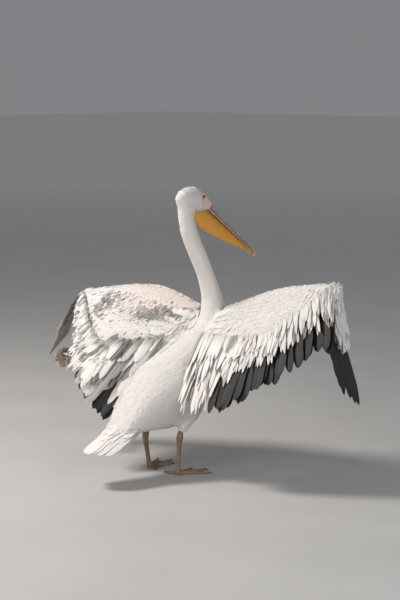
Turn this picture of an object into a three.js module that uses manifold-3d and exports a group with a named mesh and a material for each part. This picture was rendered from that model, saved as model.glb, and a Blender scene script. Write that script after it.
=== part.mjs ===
// A great white pelican standing with both wings half open, at life size in millimetres.
// The bird faces -Y, its own left is +X and +Z is up. Its soles lie on the plane z = 0.

import * as THREE from 'three';
import { mergeVertices } from 'three/addons/utils/BufferGeometryUtils.js';
import Module from 'manifold-3d';

const wasm = await Module();
wasm.setup();

// ---------------------------------------------------------------- driving dimensions

const GAP = 0.35;
const BILL_LENGTH = 344;
const BILL_DROP = 36.5;
const EYE_RADIUS = 9;
const HUMERUS = 320;
const ULNA = 360;
const HAND = 175;
const FOREARM_END = 0.955;
const ARM_RADIUS = { shoulder: 30, wrist: 20, leadingEdge: 11 };
const SHANK_TOP = 168;
const ANKLE_ABOVE_SOLE = 24;
const TOES = [
  { name: 'hind', length: 50, turn: -112 },
  { name: 'inner', length: 92, turn: -24 },
  { name: 'middle', length: 122, turn: 0 },
  { name: 'outer', length: 114, turn: 25 },
];
const CLAW_LENGTH = 16;
const WEB_THICK = 3;
const VANE_THICK = 2.4;
const ROOT_BEHIND = 3;

// The bird from the tail root to the top of the neck. `at` is [y, z] on the centre line in
// the middle plane, and `half` is [half width, height of the back, depth of the breast].
const BODY = [
  { at: [272, 184], half: [44, 15, 17] },
  { at: [234, 208], half: [66, 32, 42] },
  { at: [160, 251], half: [98, 68, 90] },
  { at: [62, 301], half: [124, 101, 148] },
  { at: [-60, 347], half: [134, 106, 154] },
  { at: [-166, 402], half: [126, 104, 140] },
  { at: [-236, 468], half: [102, 90, 108] },
  { at: [-262, 536], half: [72, 70, 72] },
  { at: [-262, 592], half: [51, 55, 52] },
  { at: [-249, 650], half: [40, 41, 41] },
  { at: [-208, 747], half: [34, 33, 35] },
  { at: [-143, 867], half: [33, 35, 34] },
  { at: [-111, 950], half: [32, 34, 34] },
  { at: [-114, 1005], half: [29, 31, 32] },
];
const NECK_BASE = 7 / 13;
const NECK_MIDDLE = 10 / 13;
const SPLIT = 0.0004;
const HEAD = [
  { at: [-70, 1006], half: [9, 13, 14] },
  { at: [-78, 1010], half: [22, 30, 30] },
  { at: [-104, 1020], half: [33, 44, 46] },
  { at: [-146, 1023], half: [36, 48, 52] },
  { at: [-182, 1015], half: [32, 37, 46] },
  { at: [-210, 1004], half: [27, 23, 36] },
  { at: [-229, 995], half: [23, 13, 23] },
];
const EYES = { spread: 25.5, forward: -177, height: 1031 };

// ---------------------------------------------------------------- shape helpers

const lerp = THREE.MathUtils.lerp;
const vector = (xyz) => new THREE.Vector3(...xyz);
const curve = (points) => new THREE.CatmullRomCurve3(points);
const degrees = THREE.MathUtils.degToRad;

/** Joins rings of points into one closed skin, and closes both ends with a strip. */
function closedRings(rings) {
  const n = rings[0].length;
  const last = (rings.length - 1) * n;
  const index = [];
  for (let k = 0; k + 1 < rings.length; k += 1) {
    for (let j = 0; j < n; j += 1) {
      const a = k * n + j;
      const b = k * n + ((j + 1) % n);
      index.push(a, b, b + n, a, b + n, a + n);
    }
  }
  for (let j = 0; j < n / 2 - 1; j += 1) {
    const quad = [j, j + 1, n - 2 - j, n - 1 - j];
    index.push(quad[0], quad[2], quad[1], quad[0], quad[3], quad[2]);
    index.push(last + quad[0], last + quad[1], last + quad[2]);
    index.push(last + quad[0], last + quad[2], last + quad[3]);
  }
  const geometry = new THREE.BufferGeometry();
  const flat = rings.flat().flatMap((p) => p.toArray());
  geometry.setAttribute('position', new THREE.Float32BufferAttribute(flat, 3));
  geometry.setIndex(index);
  return geometry;
}

/** A limb of oval section along stations, each with its centre and three half sizes. */
function limb(stations, { side = [1, 0, 0], sides = 12, steps = 8, from = 0, to = 1, grow = 0 }) {
  const path = curve(stations.map((station) => station.centre));
  const sizes = curve(stations.map((station) => vector(station.half)));
  const rings = [];
  for (let k = 0; k <= steps; k += 1) {
    const t = lerp(from, to, k / steps);
    const centre = path.getPoint(t);
    const along = path.getTangent(t);
    const across = vector(side).addScaledVector(along, -along.dot(vector(side))).normalize();
    const rise = along.clone().cross(across);
    const half = sizes.getPoint(t);
    const ring = [];
    for (let j = 0; j < sides; j += 1) {
      const angle = (2 * Math.PI * j) / sides;
      const tall = (Math.sin(angle) > 0 ? half.y : half.z) + grow;
      ring.push(centre.clone()
        .addScaledVector(across, Math.cos(angle) * (half.x + grow))
        .addScaledVector(rise, Math.sin(angle) * tall));
    }
    rings.push(ring);
  }
  return closedRings(rings);
}

/** Stations in the middle plane, from a table of [y, z] centres. */
function middle(table) {
  return table.map(({ at, half }) => ({ centre: new THREE.Vector3(0, ...at), half }));
}

function toSolid(geometry) {
  const bare = geometry.clone();
  bare.deleteAttribute('normal');
  bare.deleteAttribute('uv');
  const merged = mergeVertices(bare, 1e-4);
  return new wasm.Manifold(new wasm.Mesh({
    numProp: 3,
    vertProperties: new Float32Array(merged.attributes.position.array),
    triVerts: new Uint32Array(merged.index.array),
  }));
}

function toGeometry(solid) {
  const { vertProperties, triVerts } = solid.getMesh();
  const geometry = new THREE.BufferGeometry();
  geometry.setAttribute('position', new THREE.Float32BufferAttribute(vertProperties, 3));
  geometry.setIndex(new THREE.Uint32BufferAttribute(triVerts, 1));
  return geometry;
}

const carve = (geometry, ...tools) => toGeometry(
  tools.reduce((solid, tool) => solid.subtract(toSolid(tool)), toSolid(geometry)),
);

/** Keeps what lies beyond a plane, on the side that its normal points to. */
const beyond = (geometry, point, normal) => toGeometry(
  toSolid(geometry).trimByPlane(normal.toArray(), point.dot(normal)),
);

const weld = (...pieces) => toGeometry(
  pieces.map(toSolid).reduce((whole, piece) => whole.add(piece)),
);

/** A thin sheet of overlapping feathers, from a root line to a toothed line of tips. */
function featherSheet({ roots, hang, count, bow, notch = 0.12, thick = VANE_THICK }) {
  const rows = 2;
  const rootLine = curve(roots);
  const hanging = curve(hang);
  const place = (u, v) => rootLine.getPoint(u)
    .addScaledVector(hanging.getPoint(u), v)
    .addScaledVector(bow, Math.sin(Math.PI * 0.7 * v));
  const rings = [];
  for (let k = 0; k <= 3 * count; k += 1) {
    const u = k / (3 * count);
    const ragged = 0.05 * Math.sin(2.4 * Math.floor(k / 3)) ** 2;
    const reach = 1 - (k % 3 === 0 ? notch : ragged);
    const upper = [];
    const under = [];
    for (let row = 0; row <= rows; row += 1) {
      const v = (reach * row) / rows;
      const spanwise = place(Math.min(u + 0.01, 1), v).sub(place(Math.max(u - 0.01, 0), v));
      const outward = place(u, v + 0.01).sub(place(u, v - 0.01));
      const normal = outward.cross(spanwise).normalize();
      const half = thick * lerp(0.5, 0.3, row / rows);
      upper.push(place(u, v).addScaledVector(normal, half));
      under.unshift(place(u, v).addScaledVector(normal, -half));
    }
    rings.push([...upper, ...under]);
  }
  return closedRings(rings);
}

// ---------------------------------------------------------------- materials and the group

const finish = (color, roughness) => new THREE.MeshStandardMaterial({ color, roughness, metalness: 0 });
const plumage = finish(0xf3ece6, 0.8);
const flightFeathers = finish(0x2a2724, 0.6);
const faceSkin = finish(0xe8c9bd, 0.6);
const billHorn = finish(0x8f9aa6, 0.45);
const pouchSkin = finish(0xe39a2f, 0.5);
const nailHorn = finish(0xd9b48c, 0.4);
const legSkin = finish(0xb08d6a, 0.6);
const clawHorn = finish(0x3b332e, 0.4);
const eyeGlass = finish(0x3a1c14, 0.1);

const bird = new THREE.Group();

function addPiece(name, geometry, material) {
  const mesh = new THREE.Mesh(geometry, material);
  mesh.name = name;
  bird.add(mesh);
}

// ---------------------------------------------------------------- trunk, neck and head

const bodyStations = middle(BODY);
const headStations = middle(HEAD);
const trunkShape = { sides: 20, steps: 14, from: 0, to: NECK_BASE };
const headShape = { sides: 16, steps: 10 };
const neckShape = { sides: 16, steps: 6 };
const upperNeck = { ...neckShape, from: NECK_MIDDLE + SPLIT, to: 1 };
const trunkRoom = limb(bodyStations, { ...trunkShape, grow: GAP });
const headRoom = limb(headStations, { ...headShape, grow: GAP });
const neckRoom = limb(bodyStations, { ...upperNeck, grow: GAP });

function eyeBall(sign, radius) {
  return new THREE.SphereGeometry(radius, 10, 8)
    .translate(sign * EYES.spread, EYES.forward, EYES.height);
}

addPiece('trunk', limb(bodyStations, trunkShape), plumage);
addPiece('neck_lower', limb(bodyStations, {
  ...neckShape,
  from: NECK_BASE + SPLIT,
  to: NECK_MIDDLE - SPLIT,
}), plumage);
addPiece('neck_upper', carve(limb(bodyStations, upperNeck), headRoom), plumage);
addPiece('head', carve(
  limb(headStations, headShape),
  eyeBall(1, EYE_RADIUS + GAP),
  eyeBall(-1, EYE_RADIUS + GAP),
), faceSkin);
addPiece('eye_left', eyeBall(1, EYE_RADIUS), eyeGlass);
addPiece('eye_right', eyeBall(-1, EYE_RADIUS), eyeGlass);

// ---------------------------------------------------------------- bill

const billRoot = new THREE.Vector3(0, -229, 994);
const billAxis = new THREE.Vector3(0, -Math.cos(degrees(BILL_DROP)), -Math.sin(degrees(BILL_DROP)));
const billRise = new THREE.Vector3(0, -Math.sin(degrees(BILL_DROP)), Math.cos(degrees(BILL_DROP)));

/** Bill stations from [share of the length, centre below the axis, half width, half depth]. */
function billStations(table) {
  return table.map(([share, below, wide, deep]) => ({
    centre: billRoot.clone()
      .addScaledVector(billAxis, share * BILL_LENGTH)
      .addScaledVector(billRise, -below),
    half: [wide, deep, deep],
  }));
}

const UPPER_BILL = [
  [0, 0, 22, 11],
  [0.15, 1.5, 17, 8.5],
  [0.4, 3, 13.5, 6.5],
  [0.7, 3.5, 15, 5],
  [0.88, 4, 15, 4.6],
  [0.95, 4.5, 10, 4.2],
];
const LOWER_BILL = [
  [0.02, 16.8, 20, 4.3],
  [0.3, 13.8, 15, 3.2],
  [0.6, 12, 13, 2.7],
  [0.85, 11.4, 12, 2.2],
  [0.93, 11, 7, 1.7],
];
const POUCH = [
  [-0.09, 58, 13, 26],
  [0.02, 57.5, 19, 35],
  [0.18, 51.5, 19, 33],
  [0.42, 40.5, 16, 23.5],
  [0.66, 29, 12, 13.2],
  [0.85, 20, 7.5, 5.6],
  [0.91, 16.5, 4, 2.4],
];
const NAIL = [
  [0.953, 4.5, 9.5, 4],
  [0.98, 7, 7, 5],
  [0.99, 12, 4.5, 5],
  [0.983, 17, 2, 2.4],
];

addPiece('upper_bill', carve(limb(billStations(UPPER_BILL), {}), headRoom), billHorn);
addPiece('lower_bill', carve(limb(billStations(LOWER_BILL), {}), headRoom), billHorn);
addPiece('pouch', carve(limb(billStations(POUCH), { sides: 14 }), headRoom, neckRoom), pouchSkin);
addPiece('bill_nail', limb(billStations(NAIL), { sides: 10, steps: 5 }), nailHorn);

// ---------------------------------------------------------------- tail

addPiece('tail', carve(featherSheet({
  roots: [[60, 214, 196], [0, 232, 214], [-60, 214, 196]].map(vector),
  hang: [[24, 140, -74], [0, 178, -100], [-24, 140, -74]].map(vector),
  count: 8,
  bow: vector([0, 5, 8]),
  notch: 0.06,
  thick: 7,
}), trunkRoom), plumage);

// ---------------------------------------------------------------- wings

// `drape` is the direction in which feathers hang at the elbow, at mid forearm and at the wrist.
// The rows' own `hang` is the way from root to tip at the row's inner end, middle and outer end.
const WINGS = [
  {
    name: 'wing_right',
    sign: -1,
    lead: [-66, -246, 590],
    shoulder: [-86, -176, 530],
    armpit: [-90, -122, 498],
    bend: [-300, -268, 686],
    wrist: [-572, -302, 728],
    trailing: [-0.2, 0.8, -0.55],
    palm: [-0.42, 0.24, -0.87],
    scapulars: [[-48, 165, -245], [-35, 110, -185], [-20, 60, -105]],
    drape: [[-0.1, 0.46, -0.87], [-0.27, 0.45, -0.85], [-0.42, 0.35, -0.84]],
    coverts: [96, 128, 150],
    secondaries: [236, 210, 225],
    primaries: [[-60, 75, -230], [-85, 65, -255], [-100, 50, -240]],
    fringe: [[-25, 30, -60], [-45, 30, -85], [-45, 25, -75]],
  },
  {
    name: 'wing_left',
    sign: 1,
    lead: [66, -246, 590],
    shoulder: [86, -176, 530],
    armpit: [84, -86, 468],
    bend: [262, -186, 668],
    wrist: [500, -65, 634],
    trailing: [0.05, 0.85, -0.5],
    palm: [0.5, 0.2, -0.84],
    scapulars: [[6, 205, -185], [22, 175, -150], [34, 125, -105]],
    drape: [[-0.02, 0.48, -0.87], [0.1, 0.46, -0.88], [0.3, 0.4, -0.87]],
    coverts: [120, 135, 145],
    secondaries: [240, 150, 104],
    primaries: [[40, 52, -90], [50, 60, -86], [52, 60, -76]],
    fringe: [[44, 36, -76], [60, 32, -104], [66, 30, -110]],
  },
];

/** The elbow lies off the line from shoulder to wrist, towards the trailing side. */
function elbowOf({ shoulder, wrist, trailing }) {
  const reach = wrist.clone().sub(shoulder);
  const span = reach.length();
  reach.normalize();
  const share = (HUMERUS ** 2 + span ** 2 - ULNA ** 2) / (2 * span);
  const offset = Math.sqrt(HUMERUS ** 2 - share ** 2);
  const away = trailing.clone().addScaledVector(reach, -trailing.dot(reach)).normalize();
  return shoulder.clone().addScaledVector(reach, share).addScaledVector(away, offset);
}

/** The arm's section at t, from the leading edge to the bones on the trailing side. */
function armSection(wing, t) {
  const front = wing.leading.getPoint(t);
  const back = wing.bones.getPoint(t);
  const radius = lerp(ARM_RADIUS.shoulder, ARM_RADIUS.wrist, t);
  const halfChord = front.distanceTo(back) / 2 + radius;
  const chord = back.clone().sub(front).normalize().lerp(wing.trailing, 0.5).normalize();
  const along = wing.leading.getTangent(t);
  const dorsal = along.clone().cross(chord).multiplyScalar(wing.sign).normalize();
  return { centre: front.lerp(back, 0.5), chord, dorsal, halfChord, radius };
}

function armSlab(wing, from, to, grow = 0) {
  const steps = 6;
  const sides = 12;
  const rings = [];
  for (let k = 0; k <= steps; k += 1) {
    const { centre, chord, dorsal, halfChord, radius } = armSection(wing, lerp(from, to, k / steps));
    const ring = [];
    for (let j = 0; j < sides; j += 1) {
      const angle = (wing.sign * 2 * Math.PI * j) / sides;
      const aft = Math.cos(angle);
      const half = lerp(ARM_RADIUS.leadingEdge, radius * 0.85, (aft + 1) / 2) + grow;
      ring.push(centre.clone()
        .addScaledVector(chord, aft * (halfChord + grow))
        .addScaledVector(dorsal, Math.sin(angle) * half));
    }
    rings.push(ring);
  }
  return closedRings(rings);
}

/** Points just behind the arm's trailing edge, raised to the dorsal side by `lift`. */
function trailingEdge(wing, from, to, lift) {
  const count = 6;
  return Array.from({ length: count }, (_, i) => {
    const { centre, chord, dorsal, halfChord } = armSection(wing, lerp(from, to, i / (count - 1)));
    return centre.addScaledVector(chord, halfChord + ROOT_BEHIND).addScaledVector(dorsal, lift);
  });
}

/** The drape directions of a wing, times the lengths of one row of feathers. */
function drapeBy(directions, lengths) {
  return directions.map((way, i) => vector(way).normalize().multiplyScalar(lengths[i]));
}

for (const pose of WINGS) {
  const wing = {
    sign: pose.sign,
    shoulder: vector(pose.shoulder),
    wrist: vector(pose.wrist),
    trailing: vector(pose.trailing).normalize(),
  };
  const elbow = elbowOf(wing);
  const palm = vector(pose.palm).normalize();
  wing.leading = curve([vector(pose.lead), vector(pose.bend), wing.wrist]);
  wing.bones = curve([vector(pose.armpit), elbow, wing.wrist]);
  addPiece(`${pose.name}_upper_arm`, carve(armSlab(wing, 0, 0.499), trunkRoom), plumage);
  addPiece(`${pose.name}_forearm`, armSlab(wing, 0.501, FOREARM_END), plumage);

  // The hand leaves the forearm's end, turns down at the wrist and tapers to the finger.
  const alongHand = (distance) => wing.wrist.clone().addScaledVector(palm, distance);
  const inward = wing.trailing.clone().addScaledVector(palm, -wing.trailing.dot(palm)).normalize();
  const handDorsal = inward.clone().cross(palm).multiplyScalar(-wing.sign);
  const end = armSection(wing, FOREARM_END);
  const outwards = end.chord.clone().cross(end.dorsal).multiplyScalar(wing.sign).normalize();
  addPiece(`${pose.name}_hand`, beyond(limb([
    { centre: end.centre.clone().addScaledVector(outwards, -12), half: [end.halfChord, 15, 15] },
    { centre: alongHand(6), half: [30, 14, 14] },
    { centre: alongHand(HAND * 0.5), half: [23, 10, 10] },
    { centre: alongHand(HAND), half: [8, 5, 5] },
  ], { side: end.chord.toArray() }), end.centre.addScaledVector(outwards, GAP), outwards), plumage);

  const bow = end.dorsal.clone().multiplyScalar(14);
  addPiece(`${pose.name}_scapulars`, carve(featherSheet({
    roots: trailingEdge(wing, 0.04, 0.4, 13),
    hang: pose.scapulars.map(vector),
    count: 7,
    bow,
  }), trunkRoom), plumage);
  addPiece(`${pose.name}_coverts`, featherSheet({
    roots: trailingEdge(wing, 0.42, 0.95, 10),
    hang: drapeBy(pose.drape, pose.coverts),
    count: 10,
    bow,
    notch: 0.2,
  }), plumage);
  addPiece(`${pose.name}_secondaries`, carve(featherSheet({
    roots: trailingEdge(wing, 0.36, 0.94, -5),
    hang: drapeBy(pose.drape, pose.secondaries),
    count: 10,
    bow,
  }), trunkRoom), flightFeathers);

  /** Points from the hand's inner side at the wrist to the finger tip. */
  const handEdge = (shares, offsets, lift) => shares.map((share, i) => alongHand(share * HAND)
    .addScaledVector(inward, offsets[i])
    .addScaledVector(handDorsal, lift));
  const handBow = handDorsal.clone().multiplyScalar(10);
  addPiece(`${pose.name}_primaries`, featherSheet({
    roots: handEdge([0.5, 0.8, 1.05], [44, 28, 0], -24),
    hang: pose.primaries.map(vector),
    count: 8,
    bow: handBow,
  }), flightFeathers);
  addPiece(`${pose.name}_hand_coverts`, featherSheet({
    roots: handEdge([0.25, 0.65, 1.04], [72, 52, 4], 3),
    hang: pose.fringe.map(vector),
    count: 6,
    bow: handBow,
    notch: 0.2,
  }), plumage);
}

// ---------------------------------------------------------------- legs

const LEGS = [
  { name: 'right', sign: -1, hip: [-70, -70, 275], ankle: [-85, 12, 140], heel: [-86, 22], turn: 12 },
  { name: 'left', sign: 1, hip: [70, -50, 275], ankle: [80, 31, 128], heel: [78, 10], turn: 4 },
];

for (const leg of LEGS) {
  const ankle = vector(leg.ankle);
  const heel = new THREE.Vector3(...leg.heel, 0);
  const shankTop = ankle.clone().lerp(vector(leg.hip), 0.2).setZ(SHANK_TOP);
  const upShank = (height) => heel.clone().lerp(ankle, height / ankle.z);
  const thighStations = [
    { centre: vector(leg.hip), half: [52, 66, 60] },
    { centre: vector(leg.hip).lerp(shankTop, 0.55), half: [36, 44, 40] },
    { centre: vector(leg.hip).lerp(shankTop, 0.85), half: [22, 25, 24] },
    { centre: shankTop, half: [13, 14, 15] },
  ];
  const thighRoom = limb(thighStations, { steps: 9, grow: GAP });
  addPiece(`thigh_${leg.name}`, carve(
    limb(thighStations, { steps: 9, to: 0.995 }),
    trunkRoom,
  ), plumage);
  addPiece(`shank_${leg.name}`, carve(limb([
    { centre: shankTop, half: [8.5, 10, 10] },
    { centre: ankle.clone().lerp(shankTop, 0.2), half: [11.5, 14, 15] },
    { centre: upShank(ankle.z * 0.85), half: [9, 11, 12] },
    { centre: upShank(ankle.z * 0.5), half: [6.5, 8.5, 9] },
    { centre: upShank(ANKLE_ABOVE_SOLE), half: [8, 9, 9.5] },
  ], { sides: 10 }), thighRoom), legSkin);

  const bearing = (toe) => degrees(leg.turn + toe.turn);
  const toeDirection = (toe) => new THREE.Vector3(
    leg.sign * Math.sin(bearing(toe)),
    -Math.cos(bearing(toe)),
    0,
  );
  const onToe = (toe, distance, height) => heel.clone()
    .addScaledVector(toeDirection(toe), distance)
    .setZ(height);
  const toes = TOES.map((toe) => limb([
    { centre: onToe(toe, 0, 12), half: [7.5, 13, 7] },
    { centre: onToe(toe, toe.length * 0.4, 7), half: [6.5, 9, 5.5] },
    { centre: onToe(toe, toe.length * 0.75, 5.5), half: [5.5, 8, 4.5] },
    { centre: onToe(toe, toe.length, 5), half: [4, 7, 3.5] },
  ], { side: toeDirection(toe).cross(new THREE.Vector3(0, 0, 1)).toArray(), sides: 6, steps: 3 }));

  const outline = new THREE.Shape();
  const tips = TOES.map((toe) => onToe(toe, toe.length * 0.96, 0));
  const behind = heel.clone().addScaledVector(toeDirection(TOES[2]), -6);
  outline.moveTo(behind.x, behind.y);
  outline.lineTo(tips[0].x, tips[0].y);
  for (let i = 1; i < tips.length; i += 1) {
    const slack = tips[i - 1].clone().lerp(tips[i], 0.5).lerp(heel, 0.22);
    outline.quadraticCurveTo(slack.x, slack.y, tips[i].x, tips[i].y);
  }
  const web = new THREE.ExtrudeGeometry(outline, {
    depth: WEB_THICK,
    bevelEnabled: false,
    curveSegments: 4,
  });
  const stump = limb([
    { centre: upShank(ANKLE_ABOVE_SOLE - 4 * GAP), half: [8, 9, 9.5] },
    { centre: upShank(12), half: [9, 10, 11] },
    { centre: upShank(-4), half: [10, 11, 12] },
  ], { steps: 3 });
  const underfoot = new THREE.BoxGeometry(400, 400, 60).translate(heel.x, heel.y, -30);
  addPiece(`foot_${leg.name}`, carve(weld(web, stump, ...toes), underfoot), legSkin);
  TOES.forEach((toe) => addPiece(`claw_${leg.name}_${toe.name}`, limb([
    { centre: onToe(toe, toe.length + GAP, 5), half: [3, 3, 3.2] },
    { centre: onToe(toe, toe.length + CLAW_LENGTH * 0.55, 4.6), half: [2.2, 2.2, 2.4] },
    { centre: onToe(toe, toe.length + CLAW_LENGTH, 2), half: [0.6, 0.7, 0.7] },
  ], {
    side: toeDirection(toe).cross(new THREE.Vector3(0, 0, 1)).toArray(),
    sides: 6,
    steps: 2,
  }), clawHorn));
}

// ---------------------------------------------------------------- origin

// The origin is under the middle of the bird's box, on the floor.
const box = new THREE.Box3().setFromObject(bird);
const middleOfBox = box.getCenter(new THREE.Vector3());
bird.position.set(-middleOfBox.x, -middleOfBox.y, -box.min.z);

export default bird;
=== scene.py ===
# %% [markdown]
# # A great white pelican, wings half open
# This lesson dresses a life-size model of a large white waterbird. The solid model gives the
# true outline and sizes. Here we lay one smooth skin inside it and cover that skin with
# thousands of solid feathers. We start with the import of the solid model, because every
# later place and size is read from it.

# %% Load the solid model
import math

import bmesh
import bpy
import numpy as np
from mathutils import Matrix, Vector, kdtree
from mathutils.bvhtree import BVHTree


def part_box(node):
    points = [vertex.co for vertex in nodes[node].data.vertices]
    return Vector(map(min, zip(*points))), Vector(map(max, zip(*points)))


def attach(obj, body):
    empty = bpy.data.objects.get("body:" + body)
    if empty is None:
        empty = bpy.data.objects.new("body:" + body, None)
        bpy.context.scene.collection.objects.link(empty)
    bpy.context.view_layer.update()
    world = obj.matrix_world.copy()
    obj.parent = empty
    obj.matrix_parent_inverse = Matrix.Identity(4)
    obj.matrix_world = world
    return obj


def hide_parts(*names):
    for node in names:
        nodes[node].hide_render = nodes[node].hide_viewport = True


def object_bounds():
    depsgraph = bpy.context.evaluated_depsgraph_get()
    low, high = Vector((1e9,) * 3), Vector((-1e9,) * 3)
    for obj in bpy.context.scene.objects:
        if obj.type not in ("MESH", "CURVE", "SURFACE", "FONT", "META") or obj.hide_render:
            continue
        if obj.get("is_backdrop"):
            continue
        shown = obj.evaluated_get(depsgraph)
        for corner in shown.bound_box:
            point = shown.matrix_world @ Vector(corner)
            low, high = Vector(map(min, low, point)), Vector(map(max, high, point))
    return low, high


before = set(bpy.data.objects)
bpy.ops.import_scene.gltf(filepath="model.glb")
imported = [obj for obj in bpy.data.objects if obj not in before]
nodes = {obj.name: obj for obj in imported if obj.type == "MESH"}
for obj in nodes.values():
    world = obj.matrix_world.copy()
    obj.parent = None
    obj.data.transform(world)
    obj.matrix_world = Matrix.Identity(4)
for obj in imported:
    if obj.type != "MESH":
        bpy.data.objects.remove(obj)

cad_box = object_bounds()
chance = np.random.default_rng(7)
print("solid nodes:", len(nodes))

# %% [markdown]
# ## One place to measure from
# The bird's own frame has its soles on z = 0 and its middle plane on x = 0, but the solid
# model is moved so that its box is centred. The right eye is a ball whose centre is known in
# both frames, so the step between the two frames is one subtraction. All places below are
# written in the bird's frame, in metres, and `spot` moves them.

# %% The bird's frame
EYE_RIGHT = np.array([-0.0255, -0.177, 1.031])
EYE_RADIUS = 0.009


def box_centre(node):
    """The middle of a solid node's box."""
    low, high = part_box(node)
    return (np.array(low) + np.array(high)) / 2


HOME = box_centre("eye_right") - EYE_RIGHT


def spot(*xyz):
    """A place in the bird's frame, moved to where the solid model stands."""
    return np.array(xyz, float) + HOME


print("step between the frames:", HOME.round(4))

# %% [markdown]
# ## Camera, floor and light
# The camera stands behind the bird's right side, a little above the level of its back, and
# six metres away, so that the long wings don't stretch. A long lens then fills the picture.
# The floor is one large pale sheet with nothing behind it, so that the bird can be seen from
# every side. Far away its paint grows lighter until it meets the sky without a hard line.

# %% Camera
CAMERA_AT = spot(-4.243, 4.243, 1.496)
CAMERA_WAY = Vector((0.68492, -0.71517, -0.13934))
FOCAL_LENGTH = 97.2
SENSOR = 36.0

camera_data = bpy.data.cameras.new("camera")
camera_data.lens = FOCAL_LENGTH
camera_data.sensor_width = SENSOR
camera_data.clip_end = 120.0
camera = bpy.data.objects.new("camera", camera_data)
camera.location = CAMERA_AT
camera.rotation_mode = "QUATERNION"
camera.rotation_quaternion = CAMERA_WAY.to_track_quat("-Z", "Y")
bpy.context.scene.collection.objects.link(camera)
bpy.context.scene.camera = camera
print("camera height:", round(camera.location.z, 3))

# %% Small helpers for vectors and meshes


def unit(v):
    """Vectors of length one, along the last axis."""
    return v / np.maximum(np.linalg.norm(v, axis=-1, keepdims=True), 1e-9)


def dot(a, b):
    return (a * b).sum(-1, keepdims=True)


def mix(a, b, share):
    return a + (b - a) * share


def smooth(x, low=0.0, high=1.0):
    """A soft step from 0 at low to 1 at high."""
    x = np.clip((x - low) / (high - low), 0, 1)
    return x * x * (3 - 2 * x)


def curve(points, t):
    """Places on a smooth curve through the points, at shares t of it from 0 to 1."""
    points = np.asarray(points, float)
    t = np.clip(np.atleast_1d(t), 0, 1) * (len(points) - 1)
    first = np.minimum(t.astype(int), len(points) - 2)
    f = (t - first)[:, None]
    longer = np.vstack([2 * points[0] - points[1], points, 2 * points[-1] - points[-2]])
    a, b, c, d = (longer[first + k] for k in range(4))
    bend = 2 * a - 5 * b + 4 * c - d
    return b + 0.5 * f * ((c - a) + f * (bend + f * (3 * b - a - 3 * c + d)))


def link(name, mesh, *materials):
    """A new object with this mesh and these materials."""
    made = bpy.data.objects.new(name, mesh)
    bpy.context.scene.collection.objects.link(made)
    for material in materials:
        mesh.materials.append(material)
    return made


def mesh_from(name, points, quads, tris=None):
    """A mesh from arrays of points, four-sided faces and three-sided faces."""
    tris = np.zeros((0, 3), int) if tris is None else tris
    mesh = bpy.data.meshes.new(name)
    mesh.vertices.add(len(points))
    mesh.vertices.foreach_set("co", np.asarray(points, np.float32).ravel())
    corners = np.concatenate([quads.ravel(), tris.ravel()]).astype(np.int32)
    starts = np.concatenate([np.arange(len(quads)) * 4, len(quads) * 4 + np.arange(len(tris)) * 3])
    mesh.loops.add(len(corners))
    mesh.loops.foreach_set("vertex_index", corners)
    mesh.polygons.add(len(starts))
    mesh.polygons.foreach_set("loop_start", starts.astype(np.int32))
    mesh.polygons.foreach_set("use_smooth", np.ones(len(starts), bool))
    mesh.update(calc_edges=True)
    return mesh


def points_of(mesh):
    co = np.zeros(len(mesh.vertices) * 3, np.float32)
    mesh.vertices.foreach_get("co", co)
    return co.reshape(-1, 3).astype(float)


# %% Floor and lights
FLOOR_HALF = 40.0
FLOOR_WAY = unit(np.array([CAMERA_WAY[0], CAMERA_WAY[1], 0.0]))


def studio_floor():
    """One flat sheet under the bird, far wider than any view of it."""
    corners = np.array([(-1, -1, 0), (1, -1, 0), (1, 1, 0), (-1, 1, 0)]) * FLOOR_HALF
    return mesh_from("floor", corners, np.array([[0, 1, 2, 3]]))


def studio_light(name, at, aim, size, power, colour):
    """A round area light, turned towards a place."""
    data = bpy.data.lights.new(name, "AREA")
    data.shape = "DISK"
    data.size = size
    data.energy = power
    data.color = colour
    lamp = bpy.data.objects.new(name, data)
    lamp.location = at
    lamp.rotation_mode = "QUATERNION"
    lamp.rotation_quaternion = Vector(aim - at).to_track_quat("-Z", "Y")
    bpy.context.scene.collection.objects.link(lamp)


AIM = spot(0.0, 0.0, 0.55)
CAMERA_SIDE = unit(np.array([FLOOR_WAY[1], -FLOOR_WAY[0], 0.0]))


def studio_place(right, back, up):
    """A place by steps to the camera's right, away from the camera and up."""
    return AIM + CAMERA_SIDE * right + FLOOR_WAY * back + np.array([0, 0, up])


studio_light("key", studio_place(-2.4, 0.0, 3.0), AIM, 1.0, 150, (1.0, 0.965, 0.92))
studio_light("fill", studio_place(2.6, -3.0, 1.2), AIM, 2.6, 45, (0.93, 0.96, 1.0))
studio_light("side", studio_place(-2.6, -3.2, 0.9), AIM, 2.2, 70, (1.0, 0.98, 0.95))

# %% [markdown]
# ## Materials
# Each finish is a small node tree. Plumage takes its colour from a painted attribute on the
# feathers, so that one material serves every tract, and draws the barbs and the shaft from a
# map that runs across and along each vane. Skin and horn are built from noise and cell
# patterns in object space, which need no map. A picture texture would be quicker, but it
# can't be rescaled, and nodes keep their detail at any distance.

# %% Material helpers
BARBS = 46.0
SHAFT_HALF = 0.035


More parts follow.
